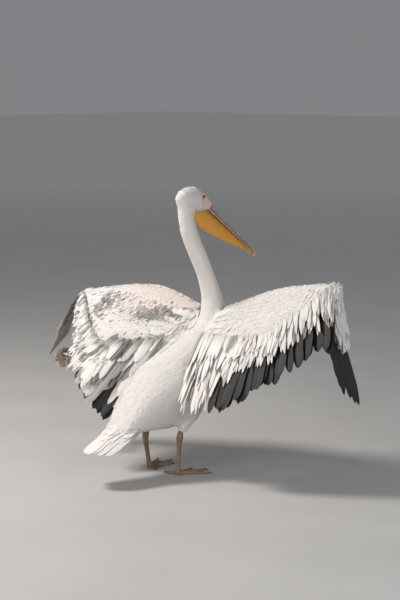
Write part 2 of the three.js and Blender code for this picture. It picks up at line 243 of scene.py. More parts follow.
class Finish:
    """A material whose nodes are added and wired by short calls."""

    def __init__(self, name, roughness, **sockets):
        self.material = bpy.data.materials.new(name)
        self.material.use_nodes = True
        self.tree = self.material.node_tree
        self.shader = self.tree.nodes["Principled BSDF"]
        self.shader.inputs["Roughness"].default_value = roughness
        for socket, value in sockets.items():
            self.shader.inputs[socket.replace("_", " ")].default_value = value

    def node(self, kind, *inputs, **settings):
        """Adds a node, sets its properties, and wires or sets its first inputs in order."""
        made = self.tree.nodes.new("ShaderNode" + kind)
        for key, value in settings.items():
            setattr(made, key, value)
        for socket, value in zip(made.inputs, inputs):
            if isinstance(value, bpy.types.NodeSocket):
                self.tree.links.new(value, socket)
            elif value is not None:
                socket.default_value = value
        return made

    def math(self, operation, *inputs):
        return self.node("Math", *inputs, operation=operation).outputs[0]

    def noise(self, scale, detail=3.0, stretch=(1, 1, 1)):
        """Soft noise in object space, from 0 to 1."""
        scaled = self.node("Mapping", self.node("TexCoord").outputs["Object"])
        scaled.inputs["Scale"].default_value = [scale * s for s in stretch]
        made = self.node("TexNoise", scaled.outputs[0])
        made.inputs["Scale"].default_value = 1.0
        made.inputs["Detail"].default_value = detail
        return made.outputs[0]

    def cells(self, scale, stretch=(1, 1, 1)):
        """Distance to the edges of small cells in object space."""
        scaled = self.node("Mapping", self.node("TexCoord").outputs["Object"])
        scaled.inputs["Scale"].default_value = [scale * s for s in stretch]
        made = self.node("TexVoronoi", scaled.outputs[0], feature="DISTANCE_TO_EDGE")
        made.inputs["Scale"].default_value = 1.0
        return made.outputs[0]

    def ramp(self, value, *stops):
        """Colours at places from 0 to 1 along a value."""
        made = self.node("ValToRGB", value)
        elements = made.color_ramp.elements
        while len(elements) < len(stops):
            elements.new(0.5)
        for element, (place, colour) in zip(elements, stops):
            element.position = place
            element.color = (*colour, 1)
        return made.outputs[0]

    def blend(self, share, first, second, mode="MIX"):
        """Mixes two colours, by a share that is a number or a socket."""
        made = self.node("Mix", data_type="RGBA", blend_type=mode)
        for socket, value in ((made.inputs[0], share), (made.inputs[6], first), (made.inputs[7], second)):
            if isinstance(value, bpy.types.NodeSocket):
                self.tree.links.new(value, socket)
            else:
                socket.default_value = value if socket is made.inputs[0] else (*value, 1)
        return made.outputs[2]

    def colour(self, value):
        self.tree.links.new(value, self.shader.inputs["Base Color"])

    def rough(self, value):
        self.tree.links.new(value, self.shader.inputs["Roughness"])

    def bump(self, height, depth, under=None):
        """A bump of this depth in metres, laid over another bump where there is one."""
        made = self.node("Bump")
        made.inputs["Strength"].default_value = 1.0
        made.inputs["Distance"].default_value = depth
        self.tree.links.new(height, made.inputs["Height"])
        if under:
            self.tree.links.new(under, made.inputs["Normal"])
        self.tree.links.new(made.outputs[0], self.shader.inputs["Normal"])
        return made.outputs[0]


# %% Plumage
def plumage_finish(name, roughness, shaft, sheen, depth):
    """Vanes with barbs slanting out of a shaft, coloured by the attribute `tone`."""
    made = Finish(name, roughness, Sheen_Weight=sheen, Sheen_Roughness=0.6)
    vane = made.node("SeparateXYZ", made.node("UVMap", uv_map="vane").outputs[0])
    off_shaft = made.math("ABSOLUTE", made.math("SUBTRACT", vane.outputs[0], 0.5))
    slant = made.math("SUBTRACT", vane.outputs[1], made.math("MULTIPLY", off_shaft, 0.35))
    barbs = made.math("SINE", made.math("MULTIPLY", slant, BARBS * 2 * math.pi))
    streaks = made.math("MULTIPLY_ADD", barbs, 0.5, 0.5)
    tone = made.node("Attribute", attribute_name="tone").outputs["Color"]
    clouds = made.noise(60.0)
    shaded = made.blend(made.math("MULTIPLY", streaks, 0.09), tone, (0.45, 0.42, 0.40), "MULTIPLY")
    cloudy = made.blend(made.math("MULTIPLY", clouds, 0.16), shaded, (0.62, 0.57, 0.54), "MULTIPLY")
    on_shaft = made.math("LESS_THAN", off_shaft, SHAFT_HALF)
    made.colour(made.blend(made.math("MULTIPLY", on_shaft, 0.5), cloudy, shaft))
    made.bump(streaks, depth)
    return made.material


plumage = plumage_finish("plumage", 0.72, (0.72, 0.66, 0.56), 0.25, 0.00025)
flight = plumage_finish("flight_feathers", 0.6, (0.06, 0.05, 0.04), 0.0, 0.0003)

# %% Skin, horn and eyes
DOWN = (0.80, 0.74, 0.70)


def down_finish():
    """The short down that shows between feathers, and the skin under it."""
    made = Finish("down", 0.85, Sheen_Weight=0.3)
    fluff = made.noise(420.0, 4.0)
    made.colour(made.ramp(fluff, (0.25, (0.60, 0.52, 0.48)), (0.7, DOWN)))
    made.bump(fluff, 0.0012)
    return made.material


def face_finish():
    """Bare pebbled skin, pink with a yellow flush."""
    made = Finish("face_skin", 0.55, Subsurface_Weight=0.15, Subsurface_Scale=0.004)
    flush = made.noise(45.0)
    pebbles = made.cells(620.0)
    pinks = ((0.3, (0.74, 0.50, 0.44)), (0.55, (0.80, 0.62, 0.55)), (0.75, (0.80, 0.62, 0.46)))
    furrows = made.ramp(pebbles, (0.0, (1, 1, 1)), (0.14, (0, 0, 0)))
    made.colour(made.blend(furrows, made.ramp(flush, *pinks), (0.60, 0.38, 0.33)))
    made.bump(pebbles, 0.0003)
    return made.material


def leg_finish():
    """Matt scaly skin, ochre and flesh, darker in its creases."""
    made = Finish("leg_skin", 0.62)
    stain = made.noise(38.0)
    scales = made.cells(430.0, (1, 1, 0.8))
    ochres = ((0.3, (0.15, 0.095, 0.055)), (0.55, (0.27, 0.175, 0.10)), (0.8, (0.40, 0.27, 0.16)))
    base = made.ramp(stain, *ochres)
    crease = made.ramp(scales, (0.0, (1, 1, 1)), (0.12, (0, 0, 0)))
    dusty = made.blend(made.math("MULTIPLY", made.noise(240.0), 0.25), base, (0.42, 0.33, 0.24))
    made.colour(made.blend(crease, dusty, (0.15, 0.085, 0.05)))
    made.bump(made.noise(900.0), 0.0002, made.bump(scales, 0.0007))
    return made.material


def bill_finish():
    """Blue-grey horn, with pink at its edges and fine lines along it."""
    made = Finish("bill_horn", 0.38, Coat_Weight=0.15)
    place = made.node("Attribute", attribute_name="bill")
    across = made.node("SeparateXYZ", place.outputs["Vector"])
    lines = made.noise(16.0, 4.0, (22, 2, 2))
    mottle = made.noise(90.0, 5.0)
    grey = made.ramp(lines, (0.3, (0.12, 0.15, 0.175)), (0.7, (0.24, 0.28, 0.31)))
    blotches = made.ramp(mottle, (0.42, (0, 0, 0)), (0.62, (0.7, 0.7, 0.7)))
    at_edge = made.ramp(across.outputs[0], (0.84, (0, 0, 0)), (0.97, (0.9, 0.9, 0.9)))
    at_tip = made.ramp(across.outputs[1], (0.72, (0, 0, 0)), (1.0, (1, 1, 1)))
    pale = made.blend(blotches, grey, (0.66, 0.56, 0.50))
    pink = made.blend(at_edge, pale, (0.60, 0.30, 0.22))
    made.colour(made.blend(at_tip, pink, (0.68, 0.47, 0.32)))
    made.rough(made.math("MULTIPLY_ADD", mottle, 0.25, 0.25))
    made.bump(lines, 0.0004)
    return made.material


def pouch_finish():
    """Thin elastic skin, yellow to orange, with painted shade at the top, a painted glow at the lower edge,
    veins and fine wrinkles.
    """
    made = Finish("pouch_skin", 0.48, Subsurface_Weight=0.3, Subsurface_Scale=0.006)
    made.shader.inputs["Subsurface Radius"].default_value = (1.0, 0.45, 0.12)
    place = made.node("SeparateXYZ", made.node("Attribute", attribute_name="bill").outputs["Vector"])
    veins = made.cells(46.0, (1, 1.0, 2.2))
    wrinkle = made.noise(150.0, 4.0, (1, 1, 3))
    # Darker towards the top, a painted shade under the upper bill, and brightest at the lower edge, a painted
    # glow of light through the thin skin.
    upper = ((0.0, (0.60, 0.27, 0.05)), (0.45, (0.72, 0.33, 0.045)))
    lower = ((0.85, (0.88, 0.40, 0.03)), (1.0, (0.92, 0.34, 0.02)))
    base = made.ramp(place.outputs[0], *upper, *lower)
    stained = made.blend(made.math("MULTIPLY", made.noise(26.0), 0.5), base, (0.60, 0.36, 0.07))
    thread = made.ramp(veins, (0.0, (0.22, 0.22, 0.22)), (0.035, (0, 0, 0)))
    made.colour(made.blend(thread, stained, (0.55, 0.13, 0.05)))
    made.bump(wrinkle, 0.0008)
    return made.material


def horn_finish(name, dark, light):
    """Claws and nail: streaked horn with a soft shine."""
    made = Finish(name, 0.35, Coat_Weight=0.2)
    streaks = made.noise(120.0, 3.0, (1, 4, 4))
    made.colour(made.ramp(streaks, (0.3, dark), (0.7, light)))
    made.bump(streaks, 0.0002)
    return made.material


def eye_finish():
    """Dark red-brown iris round a black pupil, under a wet clear coat."""
    made = Finish("eye", 0.08, Coat_Weight=1.0, Coat_Roughness=0.02)
    ring = made.node("Attribute", attribute_name="ring").outputs["Fac"]
    rays = made.math("MULTIPLY", made.noise(700.0), 0.06)
    pupil, rim = (0.38, (0.003, 0.002, 0.002)), (0.9, (0.02, 0.008, 0.006))
    iris = ((0.44, (0.10, 0.022, 0.010)), (0.75, (0.16, 0.04, 0.018)))
    made.colour(made.ramp(made.math("ADD", ring, rays), pupil, *iris, rim))
    return made.material


down, face_skin, leg_skin = down_finish(), face_finish(), leg_finish()
bill_horn, pouch_skin, eye_wet = bill_finish(), pouch_finish(), eye_finish()
claw_horn = horn_finish("claw_horn", (0.035, 0.026, 0.022), (0.12, 0.09, 0.07))
nail_horn = horn_finish("nail_horn", (0.52, 0.30, 0.16), (0.74, 0.52, 0.34))

# %% Floor finish and soft daylight
FLOOR_FADE = (3.0, 16.0)
FLOOR_FAR = (0.86, 0.86, 0.86)
floor_paint = Finish("floor_paint", 0.9)
floor_stops = ((0.3, (0.44, 0.43, 0.42)), (0.7, (0.48, 0.47, 0.46)))
floor_near = floor_paint.ramp(floor_paint.noise(2.2, 6.0), *floor_stops)
floor_place = floor_paint.node("TexCoord").outputs["Object"]
floor_distance = floor_paint.node("VectorMath", floor_place, operation="LENGTH").outputs["Value"]
floor_share = floor_paint.node("MapRange", floor_distance, *FLOOR_FADE, 0.0, 1.0).outputs[0]
floor_paint.colour(floor_paint.blend(floor_share, floor_near, FLOOR_FAR))
floor_paint.bump(floor_paint.noise(180.0), 0.0006)
floor = link("floor", studio_floor(), floor_paint.material)
floor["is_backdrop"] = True
SKY_GREY = (0.66, 0.67, 0.70, 1)
SKY_STRENGTH = 0.34
world = bpy.data.worlds.new("soft_daylight")
bpy.context.scene.world = world
world.use_nodes = True
world.node_tree.nodes["Background"].inputs[0].default_value = SKY_GREY
world.node_tree.nodes["Background"].inputs[1].default_value = SKY_STRENGTH
bpy.context.scene.view_settings.view_transform = "Standard"
print("materials:", len(bpy.data.materials))

# %% [markdown]
# ## Wings
# A half-open wing is an arm bent at the elbow and the wrist, with a sheet of skin between its
# leading edge and its bones. Every tract of wing feathers is a row along that arm. So each
# wing gets two coordinates: a share t from shoulder to wrist, and `aft` from -1 at the leading
# edge to 1 at the trailing edge. Rows are then loops over t, and the whole wing follows from a
# few joints of the skeleton, given in metres.

# %% The skeleton of each wing
HUMERUS = 0.320
ULNA = 0.360
HAND = 0.175
ARM_RADIUS = (0.030, 0.020)
EDGE_RADIUS = 0.011
# The leading edge runs from lead over bend to wrist, and the bones from shoulder or armpit to
# wrist. After them come the ways of the trailing edge and the hand. The rest, from the body
# outwards, is the way and length of each tract, or only its way (drape) or its lengths.
WINGS = {
    "right": {
        "sign": -1,
        "lead": spot(-0.066, -0.246, 0.590), "bend": spot(-0.300, -0.268, 0.686),
        "wrist": spot(-0.572, -0.302, 0.728),
        "shoulder": spot(-0.086, -0.176, 0.530), "armpit": spot(-0.090, -0.122, 0.498),
        "trailing": (-0.2, 0.8, -0.55), "palm": (-0.42, 0.24, -0.87),
        "scapulars": ((-0.048, 0.165, -0.245), (-0.035, 0.110, -0.185), (-0.020, 0.060, -0.105)),
        "drape": ((-0.1, 0.46, -0.87), (-0.27, 0.45, -0.85), (-0.42, 0.35, -0.84)),
        "coverts": (0.096, 0.128, 0.150), "secondaries": (0.236, 0.210, 0.225),
        "primaries": ((-0.060, 0.075, -0.230), (-0.085, 0.065, -0.255), (-0.100, 0.050, -0.240)),
        "fringe": ((-0.025, 0.030, -0.060), (-0.045, 0.030, -0.085), (-0.045, 0.025, -0.075)),
    },
    "left": {
        "sign": 1,
        "lead": spot(0.066, -0.246, 0.590), "bend": spot(0.262, -0.186, 0.668),
        "wrist": spot(0.500, -0.065, 0.634),
        "shoulder": spot(0.086, -0.176, 0.530), "armpit": spot(0.084, -0.086, 0.468),
        "trailing": (0.05, 0.85, -0.5), "palm": (0.5, 0.2, -0.84),
        "scapulars": ((0.006, 0.205, -0.185), (0.022, 0.175, -0.150), (0.034, 0.125, -0.105)),
        "drape": ((0.30, 0.56, -0.74), (0.40, 0.50, -0.72), (0.36, 0.38, -0.85)),
        "coverts": (0.140, 0.096, 0.052), "secondaries": (0.330, 0.090, 0.050),
        "primaries": ((0.058, 0.066, -0.090), (0.070, 0.080, -0.088), (0.074, 0.084, -0.082)),
        "fringe": ((0.034, 0.030, -0.070), (0.034, 0.018, -0.086), (0.024, 0.004, -0.084)),
    },
}
SCAPULAR_SPAN = (0.04, 0.22)
DRAPE_SPAN = (0.42, 0.66, 0.95)


def elbow_of(wing):
    """Where the two arm bones meet, off the straight line from shoulder to wrist."""
    reach = wing["wrist"] - wing["shoulder"]
    span = np.linalg.norm(reach)
    reach = reach / span
    share = (HUMERUS ** 2 + span ** 2 - ULNA ** 2) / (2 * span)
    away = unit(wing["trailing"] - reach * (wing["trailing"] @ reach))
    return wing["shoulder"] + reach * share + away * math.sqrt(HUMERUS ** 2 - share ** 2)


for wing in WINGS.values():
    wing["trailing"] = unit(np.array(wing["trailing"]))
    wing["palm"] = unit(np.array(wing["palm"]))
    wing["edge"] = np.stack([wing["lead"], wing["bend"], wing["wrist"]])
    wing["bones"] = np.stack([wing["armpit"], elbow_of(wing), wing["wrist"]])


def arm(wing, t):
    """The arm's section at each t: its middle, chord, upper side, half chord and radius."""
    t = np.atleast_1d(t)
    front, back = curve(wing["edge"], t), curve(wing["bones"], t)
    radius = mix(*ARM_RADIUS, t)[:, None]
    half_chord = np.linalg.norm(back - front, axis=1, keepdims=True) / 2 + radius
    chord = unit(mix(unit(back - front), wing["trailing"], 0.5))
    along = unit(curve(wing["edge"], t + 0.01) - curve(wing["edge"], t - 0.01))
    upper = unit(np.cross(along, chord)) * wing["sign"]
    return (front + back) / 2, chord, upper, half_chord, radius


def by_span(t, span, values):
    """Values given at some places along the arm, read at every t."""
    values = np.asarray(values, float)
    if values.ndim == 1:
        return np.interp(t, span, values)
    return np.stack([np.interp(t, span, column) for column in values.T], 1)


def hanging(wing, t):
    """The way in which long feathers hang at each t, turning evenly along the wing."""
    ways = unit(np.array([*wing["scapulars"][:2], *wing["drape"]]))
    return unit(by_span(t, (*SCAPULAR_SPAN, *DRAPE_SPAN), ways))


for side, wing in WINGS.items():
    print(side, "elbow at", (wing["bones"][1] - HOME).round(3))

# %% [markdown]
# ## One skin
# A real bird has one skin from the neck to the toes, so the joints of the solid model must
# not show. A voxel remesh pours one new surface over all the fleshy solids at once. A boolean
# union would keep every old edge, while a remesh forgets them. The voxels have to be smaller
# than the thinnest part, so the webbed feet get a finer pass of their own, and a boolean then
# joins the legs to the body where thigh feathers hide the join.

# %% Remesh the fleshy solids
SIDES = ("right", "left")
ARM_PARTS = [f"wing_{side}_{part}" for side in SIDES for part in ("upper_arm", "forearm", "hand")]
THIGHS = [f"thigh_{side}" for side in SIDES]
SHANKS = [f"shank_{side}" for side in SIDES]
FEET = [f"foot_{side}" for side in SIDES]
BODY_NODES = ["trunk", "neck_lower", "neck_upper", "head", *ARM_PARTS, *THIGHS, *SHANKS]
BODY_VOXEL = 0.004
LEG_VOXEL = 0.0015
MAP_VOXEL = 0.013


def welded(names, swell):
    """Copies of solid nodes in one mesh, each swollen a little so that they touch."""
    whole = bmesh.new()
    for name in names:
        part = bmesh.new()
        part.from_mesh(nodes[name].data)
        bmesh.ops.remove_doubles(part, verts=part.verts, dist=1e-6)
        part.normal_update()
        for vertex in part.verts:
            vertex.co += vertex.normal * swell
        copy = bpy.data.meshes.new("copy")
        part.to_mesh(copy)
        whole.from_mesh(copy)
        bpy.data.meshes.remove(copy)
        part.free()
    mesh = bpy.data.meshes.new("welded")
    whole.to_mesh(mesh)
    whole.free()
    return mesh


def with_modifier(mesh, kind, **settings):
    """The mesh after one modifier."""
    holder = bpy.data.objects.new("holder", mesh)
    bpy.context.scene.collection.objects.link(holder)
    modifier = holder.modifiers.new("step", kind)
    for key, value in settings.items():
        setattr(modifier, key, value)
    shown = holder.evaluated_get(bpy.context.evaluated_depsgraph_get())
    made = bpy.data.meshes.new_from_object(shown)
    bpy.data.objects.remove(holder)
    return made


def edges_of(mesh):
    pairs = np.zeros(len(mesh.edges) * 2, np.int32)
    mesh.edges.foreach_get("vertices", pairs)
    return pairs.reshape(-1, 2)


def averaged(values, pairs):
    """Each point's value becomes the mean of its neighbours' values."""
    total = np.zeros_like(values)
    count = np.zeros(len(values))
    for a, b in ((0, 1), (1, 0)):
        for column in range(values.shape[1]):
            total[:, column] += np.bincount(pairs[:, a], values[pairs[:, b], column], len(values))
        count += np.bincount(pairs[:, a], minlength=len(values))
    return total / np.maximum(count, 1)[:, None]


def relaxed(points, pairs, rounds, where=1.0):
    """Smooths without shrinking: each round steps in and a little further back out."""
    for _ in range(rounds):
        points = points + 0.5 * where * (averaged(points, pairs) - points)
        points = points - 0.52 * where * (averaged(points, pairs) - points)
    return points


def normals_of(mesh):
    flat = np.zeros(len(mesh.vertices) * 3, np.float32)
    mesh.vertex_normals.foreach_get("vector", flat)
    return flat.reshape(-1, 3).astype(float)


def write_points(mesh, points):
    mesh.vertices.foreach_set("co", points.astype(np.float32).ravel())
    mesh.update()


def solid_faces(names):
    """A search tree over the faces of solid nodes, and each face's node number."""
    points, faces, owner = [], [], []
    start = 0
    for number, name in enumerate(names):
        mesh = nodes[name].data
        mesh.calc_loop_triangles()
        points.append(points_of(mesh))
        tris = np.zeros(len(mesh.loop_triangles) * 3, np.int32)
        mesh.loop_triangles.foreach_get("vertices", tris)
        faces.append(tris.reshape(-1, 3) + start)
        owner.append(np.full(len(faces[-1]), number))
        start += len(points[-1])
    return np.concatenate(points), np.concatenate(faces), np.concatenate(owner)


def nearest(tree, points):
    """For each point, the nearest place on the tree's surface, its normal and its face."""
    found = [tree.find_nearest(p) for p in points.tolist()]
    places = np.array([hit[0] for hit in found])
    normals = np.array([hit[1] for hit in found])
    return places, normals, np.array([hit[2] for hit in found])


# %% [markdown]
# Between a wing and the back the solids leave a slot. Rows of small balls fill it, from the
# root of the wing outwards, and the remesh melts them into one fold of skin. Where two solids
# meet there is also a crease. Averaging the points near the nape, the folds and the wrists
# fills these creases and leaves the rest as it is.

# %% The fold of skin between each wing and the back
trunk_tree = BVHTree.FromPolygons(*(part.tolist() for part in solid_faces(["trunk"])[:2]))
WEB_SPAN = (0.0, 0.31)
WEB_GAP = 0.110
WEB_RADIUS = 0.017
ROOT_SPAN = (0.0, 0.12)
ROOT_AFT = (-0.6, -0.3, 0.0, 0.3, 0.6)


def web_places(wing, count, shares, aft=0.88, span=WEB_SPAN):
    """Places from the wing to the nearest part of the back, for each share and each t."""
    t = np.linspace(*span, count)
    middle, chord, _, half_chord, _ = arm(wing, t)
    edge = middle + chord * half_chord * aft
    back, _, _ = nearest(trunk_tree, edge)
    near = np.linalg.norm(edge - back, axis=1) < WEB_GAP
    places = mix(edge[None], back[None], np.asarray(shares)[:, None, None])[:, near]
    return places, np.broadcast_to(t[near], places.shape[:2])


def with_web(mesh):
    """Adds rows of balls that fill the fold of skin between each wing and the back."""
    made = bmesh.new()
    made.from_mesh(mesh)
    for wing in WINGS.values():
        places = [web_places(wing, 15, np.linspace(0, 1, 7))[0]]
        places += [web_places(wing, 7, np.linspace(0, 1, 9), aft, ROOT_SPAN)[0] for aft in ROOT_AFT]
        for place in np.concatenate([rows.reshape(-1, 3) for rows in places]):
            step = Matrix.Translation(place)
            bmesh.ops.create_icosphere(made, subdivisions=2, radius=WEB_RADIUS, matrix=step)
    made.to_mesh(mesh)
    made.free()
    return mesh


flesh = with_web(welded(BODY_NODES, 0.0007))
body = with_modifier(flesh, "REMESH", mode="VOXEL", voxel_size=BODY_VOXEL, use_smooth_shade=True)
write_points(body, relaxed(points_of(body), edges_of(body), 30))
print("body skin:", len(body.vertices), "points")

# %% Ease the nape and the wrists
NAPE = spot(0, -0.094, 0.966)
NAPE_REACH = 0.072
WEB_REACH = 0.045
WRIST_REACH = 0.040
WRIST_AT = 0.965


def eased(points, pairs, places, reach, rounds):
    """Averages the points near some places until hollows between two forms are filled."""
    gap = np.linalg.norm(points[:, None] - np.array(places)[None], axis=2).min(1)
    near = smooth(gap, reach, reach * 0.4)[:, None]
    for _ in range(rounds):
        points = mix(points, averaged(points, pairs), 0.6 * near)
    return points


at = eased(points_of(body), edges_of(body), [NAPE], NAPE_REACH, 90)
for wing in WINGS.values():
    web = [web_places(wing, 8, (0, 0.33, 0.67, 1))[0]]
    web += [web_places(wing, 3, (0.2, 0.5, 0.8), aft, ROOT_SPAN)[0] for aft in ROOT_AFT]
    at = eased(at, edges_of(body), np.concatenate([row.reshape(-1, 3) for row in web]), WEB_REACH, 60)
    middle, chord, _, half_chord, _ = arm(wing, WRIST_AT)
    crease = [middle[0] + chord[0] * half_chord[0] * share for share in np.linspace(-0.9, 0.9, 9)]
    at = eased(at, edges_of(body), crease, WRIST_REACH, 60)
write_points(body, at)

# %% [markdown]
# The skin must lie under the feathers, as deep as the coat is thick there: a few millimetres
# on the head and neck, and more on the trunk. Each skin point finds the nearest solid, takes
# that solid's coat depth, and moves in by it. Smoothing the depths first leaves no step. The
# back is smoothed before that, the nape is filled a little, and the left wing gets a swollen
# front edge with a hollow behind it.

# %% Sink the skin by the depth of the coat
COAT_DEPTH = {"head": 0.0016, "neck_upper": 0.003, "neck_lower": 0.004, "trunk": 0.003}
COAT_DEPTH.update({name: 0.0035 for name in ARM_PARTS})
COAT_DEPTH.update({name: 0.005 for name in THIGHS})
COAT_DEPTH.update({name: 0.0012 for name in SHANKS})
HOLLOW = 0.026
ROLL = 0.006
NAPE_BACK = spot(0, -0.066, 0.980)
NAPE_FILL = 0.008
TRUNK_ROUNDS = 190
DEPTH_ROUNDS = 12


def wing_places(points, wing):
    """Where points lie in a wing: t along it, aft across it, and how far over its middle."""
    stations = np.linspace(0, 1, 80)
    middle, chord, upper, half_chord, _ = arm(wing, stations)
    along = np.cross(chord, upper)
    gap = points[:, None] - middle[None]
    score = (gap * along[None]).sum(2) ** 2 + 0.02 * (gap ** 2).sum(2)
    best = score.argmin(1)
    gap = points - middle[best]
    aft = dot(gap, chord[best])[:, 0] / half_chord[best, 0]
    return stations[best], aft, dot(gap, upper[best])[:, 0]


def relief(points):
    """Extra depth on the left wing: a swollen front edge, and a hollow behind it."""
    t, aft, over = wing_places(points, WINGS["left"])
    top = smooth(over, 0.0, 0.006) * smooth(over, 0.060, 0.040) * smooth(np.abs(aft), 1.25, 1.05)
    inner = smooth(t, 0.02, 0.09) * smooth(t, 0.72, 0.46)
    hollow = smooth(np.abs(aft + 0.22), 0.42, 0.08)
    roll = smooth(np.abs(aft + 0.74), 0.26, 0.05)
    return top * (HOLLOW * hollow * inner - ROLL * roll * smooth(t, 0.95, 0.75))


solid_points, solid_tris, solid_owner = solid_faces(BODY_NODES)
solid_tree = BVHTree.FromPolygons(solid_points.tolist(), solid_tris.tolist())
at = points_of(body)
owner = solid_owner[nearest(solid_tree, at)[2]]
depth = np.array([COAT_DEPTH[name] for name in BODY_NODES])[owner][:, None]
pairs = edges_of(body)
behind = smooth(at[:, 1] - HOME[1], -0.16, -0.08) * smooth(at[:, 2], 0.20, 0.24)
off_trunk = np.linalg.norm(nearest(trunk_tree, at)[0] - at, axis=1)
on_trunk = (behind * smooth(off_trunk, 0.020, 0.008))[:, None]
for _ in range(TRUNK_ROUNDS):
    at = mix(at, averaged(at, pairs), 0.6 * on_trunk)
write_points(body, at)
on_left = at[:, 0] > HOME[0] + 0.05
depth[on_left, 0] += relief(at[on_left])
depth[:, 0] -= NAPE_FILL * smooth(np.linalg.norm(at - NAPE_BACK, axis=1), 0.060, 0.020)
for _ in range(DEPTH_ROUNDS):
    depth = averaged(depth, pairs)
print("deepest under the coat:", round(float(depth.max()), 4))

# %% [markdown]
# ### The bare face
# The face of this bird is bare round the eye and down to the pouch, in the shape of an egg
# that leans along the bill. There the skin isn't sunk, because no feathers cover it. The
# mesh is cut finer on the head, so that the lids can be shaped as soft ridges round each eye.

# %% The bare face and the eyelids
HEAD_CENTRE = spot(0, -0.180, 1.015)
HEAD_REACH = 0.062
CROWN_BACK = spot(0, -0.074, 0.984)
FACE_CENTRE = (-0.196, 1.012)
FACE_HALF = (0.043, 0.029)
FACE_TILT = math.radians(30)
FACE_SPREAD = 0.05
LID_FORWARD = 0.0078
LID_UP = 0.0060


def bareness(points):
    """1 in the middle of the bare face, 0 at its edge, and negative outside it."""
    local = points - HOME
    forward = -(local[:, 1] - FACE_CENTRE[0])
    up = local[:, 2] - FACE_CENTRE[1]
    along = forward * math.cos(FACE_TILT) - up * math.sin(FACE_TILT)
    across = forward * math.sin(FACE_TILT) + up * math.cos(FACE_TILT)
    return 1 - (along / FACE_HALF[0]) ** 2 - (across / FACE_HALF[1]) ** 2


def with_finer_head(mesh):
    """Splits the faces of the head, each edge into three."""
    made = bmesh.new()
    made.from_mesh(mesh)
    centre = Vector(HEAD_CENTRE)
    near = [e for e in made.edges if (e.verts[0].co - centre).length < HEAD_REACH]
    bmesh.ops.subdivide_edges(made, edges=near, cuts=2, use_grid_fill=True)
    bmesh.ops.triangulate(made, faces=[f for f in made.faces if len(f.verts) > 4])
    made.to_mesh(mesh)
    made.free()
    mesh.update()


def with_lids(points):
    """Opens the skin over each eyeball and folds its edge into two soft lids."""
    for sign in (-1, 1):
        eye = spot(-sign * EYE_RIGHT[0], EYE_RIGHT[1], EYE_RIGHT[2])
        away = points - eye
        forward, up, out = -away[:, 1], away[:, 2], away[:, 0] * sign
        ring = np.hypot(forward / LID_FORWARD, up / LID_UP)
        round_off = np.sqrt(np.maximum((EYE_RADIUS + 0.0012) ** 2 - forward ** 2 - up ** 2, 0))
        lid = round_off + 0.0004 * np.sin(ring * 11) * (ring < 2)
        over = smooth(ring, 1.9, 1.25) * (out > -0.004)
        shaped = mix(out, np.maximum(lid, out * 0.3), over)
        inside = smooth(ring, 1.04, 0.86) * (out > -0.004)
        points[:, 0] += sign * (mix(shaped, -0.001, inside) - out)
    return points


bare = bareness(at) * (np.abs(at[:, 0] - HOME[0]) < FACE_SPREAD)
depth = depth * (1 - smooth(bare, -0.15, 0.1))[:, None]
write_points(body, at - normals_of(body) * depth)
with_finer_head(body)
at = points_of(body)
head_share = smooth(np.linalg.norm(at - HEAD_CENTRE, axis=1), HEAD_REACH, 0.050)[:, None]
at = eased(at, edges_of(body), [CROWN_BACK], 0.050, 40)
write_points(body, with_lids(relaxed(at, edges_of(body), 8, head_share)))
print("with a finer head:", len(body.vertices), "points")

# %% [markdown]
# ### Scaly legs and webbed feet
# The legs carry plates in front, small round scales at the sides and a thin web between all
# four toes. Bump alone would leave a smooth outline, so the scales are pushed into the mesh.
# Seeds are spread over the skin, and a point midway between its two nearest seeds is sunk,
# which draws a net of grooves. Plates in front of the shank and on the toes are a sine wave.

# %% Legs with plates and scales
HEELS = {"right": spot(-0.086, 0.022, 0), "left": spot(0.078, 0.010, 0)}
SCALE_SIZE = 0.0032
PLATE_SIZE = 0.0056
GROOVE = 0.00045


def thinned(points, spacing):
    """Keeps points that are at least a spacing apart. Returns their numbers."""
    cell = np.floor(points / spacing).astype(int).tolist()
    places = points.tolist()
    taken, kept = {}, []
    near = [(i, j, k) for i in (-1, 0, 1) for j in (-1, 0, 1) for k in (-1, 0, 1)]
    limit = spacing * spacing
    for number, ((a, b, c), p) in enumerate(zip(cell, places)):
        crowd = (q for i, j, k in near for q in taken.get((a + i, b + j, c + k), ()))
        if any((p[0] - q[0]) ** 2 + (p[1] - q[1]) ** 2 + (p[2] - q[2]) ** 2 < limit for q in crowd):
            continue
        taken.setdefault((a, b, c), []).append(p)
        kept.append(number)
    return np.array(kept)


def net_of_grooves(points, spacing):
    """1 in the middle of each scale and 0 in the grooves between scales."""
    seeds = points[chance.permutation(len(points))]
    seeds = seeds[thinned(seeds, spacing)]
    finder = kdtree.KDTree(len(seeds))
    for number, seed in enumerate(seeds.tolist()):
        finder.insert(seed, number)
    finder.balance()
    pairs_found = [finder.find_n(p, 2) for p in points.tolist()]
    gap = np.array([far[2] - close[2] for close, far in pairs_found])
    return smooth(gap, 0.0, spacing * 0.3)


def with_scales(mesh):
    """Pushes plates and scales into the legs."""
    at = relaxed(points_of(mesh), edges_of(mesh), 5)
    write_points(mesh, at)
    out = normals_of(mesh)
    heel = np.where((at[:, 0] < HOME[0])[:, None], HEELS["right"], HEELS["left"])
    reach = np.hypot(*(at - heel)[:, :2].T)
    shank = smooth(at[:, 2], 0.022, 0.034)
    along = mix(reach, at[:, 2], shank)
    plates = smooth(np.abs(np.sin(np.pi * along / PLATE_SIZE)), 0.0, 0.55)
    in_front = shank * smooth(-out[:, 1], 0.2, 0.6)
    on_toes = (1 - shank) * smooth(at[:, 2], 0.0055, 0.008) * smooth(out[:, 2], 0.1, 0.5)
    height = mix(net_of_grooves(at, SCALE_SIZE), plates, np.clip(in_front + on_toes, 0, 1))
    free = smooth(at[:, 2], 0.0008, 0.002)
    write_points(mesh, at - out * (GROOVE * (1 - height) * free)[:, None])


